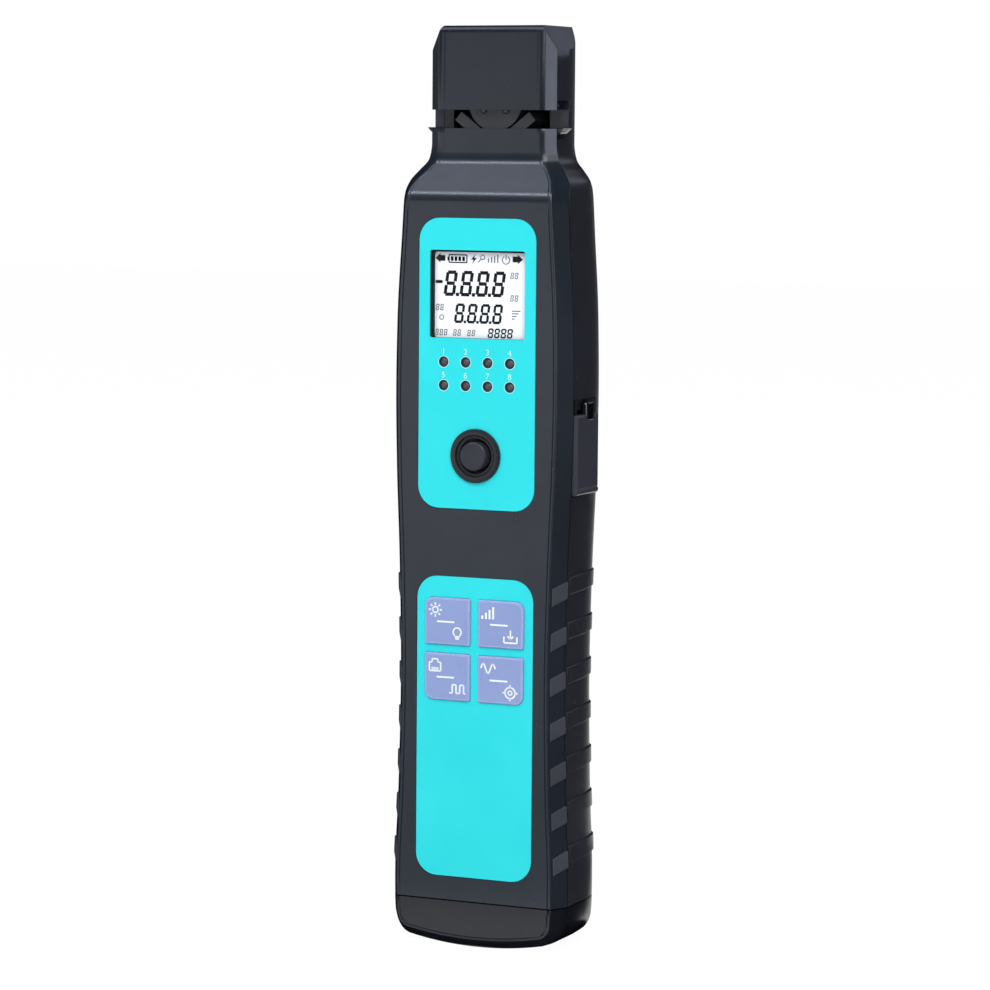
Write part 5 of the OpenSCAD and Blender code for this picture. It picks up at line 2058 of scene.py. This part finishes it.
@dataclass
class Studio:
    """Pale floor, plain soft lamps, cards for reflections and the photograph's camera."""

    lens_mm: float = 136.97
    sensor_mm: float = 36.0
    clip: Point = (0.05, 20.0)
    yaw_deg: float = 24.567
    pitch_deg: float = 5.409
    roll_deg: float = 0.4457
    target: Sizes = (5.0875, -12.55, 109.9165)
    distance: float = 894.88
    aim: Sizes = (0.0, 0.0, 0.11)
    shoulder: Sizes = (0.0, 0.0, 0.185)
    card_reach: float = 1.9
    card_front: float = 1.6
    card_foot: float = 0.34
    card_clear: float = 0.03
    card_lift: float = 0.0003
    dim_strength: float = 0.3
    pale_strength: float = 0.5
    floor_half: float = 4.0
    floor_strength: float = 1.08
    floor_share: float = 0.9

    def camera(self) -> None:
        """Create the camera that sees the object as the photograph does."""
        yaw, pitch, roll = (math.radians(v) for v in (self.yaw_deg, self.pitch_deg, self.roll_deg))
        forward = Vector((-math.sin(yaw), math.cos(yaw), 0))
        ahead = forward * math.cos(pitch) - UPWARD * math.sin(pitch)
        right = Vector((math.cos(yaw), math.sin(yaw), 0))
        above = UPWARD * math.cos(pitch) + forward * math.sin(pitch)
        side = right * math.cos(roll) + above * math.sin(roll)
        top = above * math.cos(roll) - right * math.sin(roll)
        data = bpy.data.cameras.new("photo_camera")
        data.lens, data.sensor_fit = self.lens_mm, "HORIZONTAL"
        data.sensor_width = data.sensor_height = self.sensor_mm
        data.clip_start, data.clip_end = self.clip
        obj = bpy.data.objects.new("photo_camera", data)
        bpy.context.scene.collection.objects.link(obj)
        place = (Vector(self.target) - ahead * self.distance) * MM
        obj.matrix_world = Matrix.Translation(place) @ Matrix((side, top, -ahead)).transposed().to_4x4()
        bpy.context.scene.camera = obj

    def lamp(self, name: str, place: Sizes, aim: Sizes, size: Point, power: float, tint: str) -> None:
        """Add one soft rectangular lamp.

        Args:
            name: Name of the lamp.
            place: Where it hangs.
            aim: What it points at.
            size: Width and height.
            power: Power in watts.
            tint: Colour of its light.
        """
        data = bpy.data.lights.new(name, "AREA")
        data.shape, data.energy = "RECTANGLE", power
        data.size, data.size_y = size
        data.color = srgb(tint)[:3]
        obj = bpy.data.objects.new(name, data)
        bpy.context.scene.collection.objects.link(obj)
        turn = (Vector(aim) - Vector(place)).to_track_quat("-Z", "Y").to_matrix().to_4x4()
        obj.matrix_world = Matrix.Translation(Vector(place)) @ turn

    def lamps(self) -> None:
        """Hang the key, fill and rim lamps."""
        cool = "#e4eaff"
        self.lamp("key_soft_box", (0.39, -0.94, 0.92), self.aim, (0.85, 0.85), 10.6, "#ffffff")
        self.lamp("top_soft_box", (-0.5, -0.23, 1.25), self.shoulder, (0.7, 0.5), 2.3, cool)
        self.lamp("fold_strip", (-0.5, -0.71, 1.02), self.shoulder, (0.8, 0.06), 4.6, cool)
        self.lamp("right_strip", (0.84, -0.94, 0.15), self.aim, (0.35, 0.9), 4.2, cool)
        self.lamp("rear_soft_box", (0.39, 1.36, 0.7), self.shoulder, (0.4, 0.4), 0.32, cool)

    def paint(self, name: str, kind: str, **inputs: object) -> Material:
        """Make a plain studio material.

        Args:
            name: Name of the material.
            kind: Name of its shader, as in add_node.
            inputs: Values of the shader's inputs.

        Returns:
            The material.
        """
        material, add = blank_material(name)
        add("OutputMaterial", Surface=add(kind, **inputs))
        return material

    def card(self, name: str, low: Sizes, high: Sizes, paint: Material) -> None:
        """Stand up or lay down one card that only reflections see.

        Args:
            name: Name of the card.
            low: Lowest corner.
            high: Highest corner, level with the lowest along one axis.
            paint: Material of the card.
        """
        start, span = Vector(low), Vector(high) - Vector(low)
        axes = (Vector((1, 0, 0)), BACKWARD, UPWARD)
        first, second = (axis * span.dot(axis) for axis in axes if span.dot(axis) > 0)
        bm = bmesh.new()
        edge = bmesh.ops.extrude_vert_indiv(bm, verts=[bm.verts.new(start)])
        bmesh.ops.translate(bm, vec=first, verts=edge["verts"])
        moved(bm, bmesh.ops.extrude_edge_only(bm, edges=edge["edges"])["geom"], second)
        obj = loose_object(bm, name)
        obj.data.materials.append(paint)
        obj.visible_camera = obj.visible_diffuse = obj.visible_transmission = obj.visible_shadow = False

    def walls(self, black: Material, dim: Material) -> None:
        """Stand black cards round and over the object, with two dim ones before them.

        Args:
            black: Material of the black cards.
            dim: Material of the dim ones.
        """
        r, f, low, under = self.card_reach, self.card_front, self.card_foot, self.card_lift
        inner = r - 0.01
        places = {
            "back": ((-r, r, 0), (r, r, r)),
            "right": ((r, -f, 0), (r, r, r)),
            "left": ((-r, -0.1, 0), (-r, r, r)),
            "left_high": ((-r, -f, low), (-r, -0.1, r)),
            "top": ((-r, -f, r), (r, r, r)),
            "front_right": ((0.1, -f, 0), (r, -f, r)),
            "front_high": ((-r, -f, low), (0.1, -f, r)),
            "front_middle": ((-0.45, -f, 0), (0.1, -f, low)),
            "foot": ((-0.05, -0.018, under), (0.05, 0.02, under)),
            "dim_back": ((-0.05, inner, 0), (0.25, inner, 0.4)),
            "dim_right": ((inner, -0.12, 0), (inner, 0.2, 0.4)),
        }
        for name, (start, end) in places.items():
            self.card(f"card_{name}", start, end, dim if name.startswith("dim") else black)

    def ground(self, black: Material, dim: Material, pale: Material) -> None:
        """Lay cards on the floor, each as its X and Y ranges.

        Args:
            black: Material of the black cards.
            dim: Material of the dim ones.
            pale: Material of the pale one.
        """
        r, f, gap, under = self.card_reach, self.card_front, self.card_clear, self.card_lift
        black_rows = (
            (gap, r, -f, 0.15), (0.06, r, 0.15, 0.5), (gap, r, 0.5, r), (-r, -gap, -gap, 0.15),
            (-r, -0.09, 0.15, r), (-0.3, -0.12, -0.07, -gap), (-0.7, -0.3, -0.15, -gap),
            (-r, -0.7, -0.35, -gap), (0.0, gap, -0.3, -0.1), (-0.06, gap, -0.6, -0.3),
            (-0.16, gap, -1.0, -0.6), (-0.28, gap, -f, -1.0))
        dim_rows = (
            (0.8, r, -0.12, 0.2), (0.06, 0.075, 0.15, 0.5), (gap, 0.14, 0.5, 0.9), (gap, 0.2, 0.9, 1.4),
            (gap, 0.28, 1.4, r))
        kinds = (("black", black_rows, under, black), ("dim", dim_rows, 2 * under, dim),
                 ("pale", ((-0.35, 0.0, -0.6, -0.06),), under / 2, pale))
        for kind, rows, z, paint in kinds:
            for k, (x0, x1, y0, y1) in enumerate(rows):
                self.card(f"card_floor_{kind}_{k + 1}", (x0, y0, z), (x1, y1, z), paint)

    def cards(self) -> None:
        """Surround the object with the cards that give glossy mouldings their dark sides."""
        black = self.paint("black_studio_card", "BsdfDiffuse", Color=srgb("#050506"))
        glow = srgb("#f4f6ff")
        dim = self.paint("dim_studio_card", "Emission", Color=glow, Strength=self.dim_strength)
        pale = self.paint("pale_studio_card", "Emission", Color=glow, Strength=self.pale_strength)
        self.walls(black, dim)
        self.ground(black, dim, pale)

    def seen_directly(self, add: Adder) -> Node:
        """Tell whether a ray comes from the camera, a reflection or a clear part.

        Args:
            add: Adds a node to the floor's or the world's tree.

        Returns:
            A node that gives 1 for such a ray, and otherwise 0.
        """
        path = add("LightPath").outputs
        both = add("Math", {"operation": "MAXIMUM"}, i0=path["Is Camera Ray"], i1=path["Is Glossy Ray"])
        return add("Math", {"operation": "MAXIMUM"}, i0=both, i1=path["Is Transmission Ray"])

    def floor(self) -> None:
        """Lay a pale floor that renders white and keeps a faint shadow."""
        bm = bmesh.new()
        bmesh.ops.create_grid(bm, x_segments=1, y_segments=1, size=self.floor_half)
        obj = loose_object(bm, "studio_floor")
        material, add = blank_material("painted_studio_floor")
        pale = add("BsdfDiffuse", Color=srgb("#f2f2f2"))
        white = add("Emission", Color=srgb("#ffffff"), Strength=self.floor_strength)
        share = add("Math", {"operation": "MULTIPLY"}, i0=self.seen_directly(add), i1=self.floor_share)
        mix = add("MixShader", i0=share, i1=pale, i2=white)
        add("OutputMaterial", Surface=mix)
        obj.data.materials.append(material)

    def sky(self) -> None:
        """Surround the scene with a plain dim grey that is seen as white."""
        world = bpy.data.worlds.new("studio_world")
        bpy.context.scene.world = world
        world.use_nodes = True
        world.node_tree.nodes.clear()
        add = partial(add_node, world.node_tree)
        dim = add("Background", Color=srgb("#e8ebf0"), Strength=0.25)
        white = add("Background", Color=srgb("#ffffff"), Strength=1.0)
        mix = add("MixShader", i0=self.seen_directly(add), i1=dim, i2=white)
        add("OutputWorld", Surface=mix)

    def build(self) -> None:
        """Set up the whole studio."""
        bpy.context.scene.view_settings.view_transform = "Standard"
        self.camera()
        self.lamps()
        self.cards()
        self.floor()
        self.sky()


def finishes() -> Skin:
    """Build every material once.

    Returns:
        Materials by short name.
    """
    window_low, window_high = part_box("display_pane")
    middle = (window_low + window_high) / 2
    half = (window_high - window_low) / 2
    kinds = {
        # The case's one black moulding is built as lit and shaded copies: the side and the band pads get
        # lighter colours and the end cap and the head darker ones than the front, painted light and shade
        # that follow how light falls on each part.
        "face": MouldedPlastic("moulded_abs_front", "#1e242b", "#232931", 0.24, specular=0.5),
        "band": MouldedPlastic("moulded_abs_band_pads_painted_lighter", "#3d3f45", "#45474d", 0.42),
        "side": MouldedPlastic("moulded_abs_side_painted_lighter", "#2a2c32", "#2f3138", 0.24, specular=0.4),
        "cap": MouldedPlastic("moulded_abs_end_cap_painted_darker", "#15171c", "#191b21", 0.24, specular=0.5),
        "head": MouldedPlastic("moulded_abs_head_painted_darker", "#191e25", "#1d222a", 0.24, specular=0.5),
        "film": PrintedFilm("printed_film_turquoise", "#2ed7d8", "#36dddd"),
        "ring": SatinRubber("moulded_rubber_ring", "#25262b", "#26272d", 0.26, 0.0, specular=0.5),
        "button": SatinRubber("moulded_rubber_button", "#2b2c34", "#34353d", 0.3, 0.0, specular=0.45),
        "cover": SatinRubber("moulded_rubber_cover", "#36373e", "#3e3f47", 0.24, 0.0, specular=0.45),
        "key": SatinRubber("translucent_silicone_key", "#8c9bc8", "#b2bfe2", 0.36, 0.2),
        "key_top": PrintedFilm("printed_key_face", "#8a98c4", "#93a2ca", 0.38),
        "white": FlatInk("screen_printed_white", "#f4f7fb", "#e4edf2"),
        "segment": FlatInk("liquid_crystal_dark", "#08090b", "#111316", 0.8, 0.0),
        "lamp": TintedResin("smoked_epoxy_lamp", "#4c4a4b", "#575150"),
        "lens": TintedResin("clear_epoxy_lens", "#dfe8ee", "#f4f8fb", 0.6),
        "steel": DrawnMetal("blackened_spring_steel", "#5a5c61", "#3c3e42", Vector((0, 0, 1))),
        "nickel": DrawnMetal("turned_nickel_brass", "#c4c2b8", "#95938a", Vector((0, 0, 1))),
        "gold": DrawnMetal("gold_flashed_contacts", "#e2c06a", "#b8923c", Vector((1, 0, 0))),
        "moulding": MouldedPlastic("glass_filled_nylon", "#2b2c30", "#34353a", 0.24, 0.3, specular=0.5),
        "battery": PrintedFilm("battery_shrink_wrap", "#2f5fa8", "#3a6cb6"),
        "switch": MouldedPlastic("switch_housing_nylon", "#2a2c30", "#34363a", 0.5),
        "pale_print": FlatInk("screen_printed_pale_cyan", "#c4f3f6", "#b4ecf0", 0.5, 0.1),
        "bezel": MouldedPlastic("moulded_lamp_bezel", "#2c3538", "#333c40", 0.4),
        "lip": MouldedPlastic("polished_fibre_lip", "#2b2c30", "#34353a", 0.12, specular=1.0),
        "knob": MouldedPlastic("polished_rubber_knob", "#0c0d0f", "#131416", 0.14, specular=1.0),
        "pale_segment": FlatInk("liquid_crystal_half_tone", "#63666a", "#7b7e82", 0.8, 0.0),
        # Black of the painted shade round the display window.
        "surround": MouldedPlastic("recess_shade_black", "#0e0f11", "#17181b", 0.6, specular=0.05),
        "clear": ClearWindow("hard_coated_acrylic_window", "#eef4f6"),
        "glass": DisplayGlass("reflective_display_glass", "#ffffff", "#eef0f3", middle, half),
        "frame": MouldedPlastic("display_frame_abs", "#5b5e64", "#6a6d73", 0.5),
        "board": SolderMask("solder_mask_green", "#12502f", "#2c8a4e"),
    }
    return {key: kind.build() for key, kind in kinds.items()}


def main() -> None:
    """Build every sub-assembly in order."""
    logging.basicConfig(level=logging.INFO, format="%(message)s")
    skin = finishes()
    form, face = CaseForm(), ControlFace(skin)
    rear = RearShell(skin, form)
    parts = (FrontShell(skin, form, face), rear, GripRibs(skin, form), EndCap(skin, form),
             HeadCover(skin, form, rear), face, Display(skin, face), Lamps(skin, face),
             ClampButton(skin, face), Keys(skin, face), ClampHead(skin), SideSockets(skin),
             BottomPorts(skin), BackScrews(skin, rear))
    for part in parts:
        part.build()
    inside = {"display_module": "frame", "key_switches": "switch", "sounder": "switch", "main_board": "board",
              "battery": "battery", "laser_module": "nickel"}
    for node, finish in inside.items():
        dress(node, skin[finish])
    Studio().build()


if __name__ == "__main__":
    main()
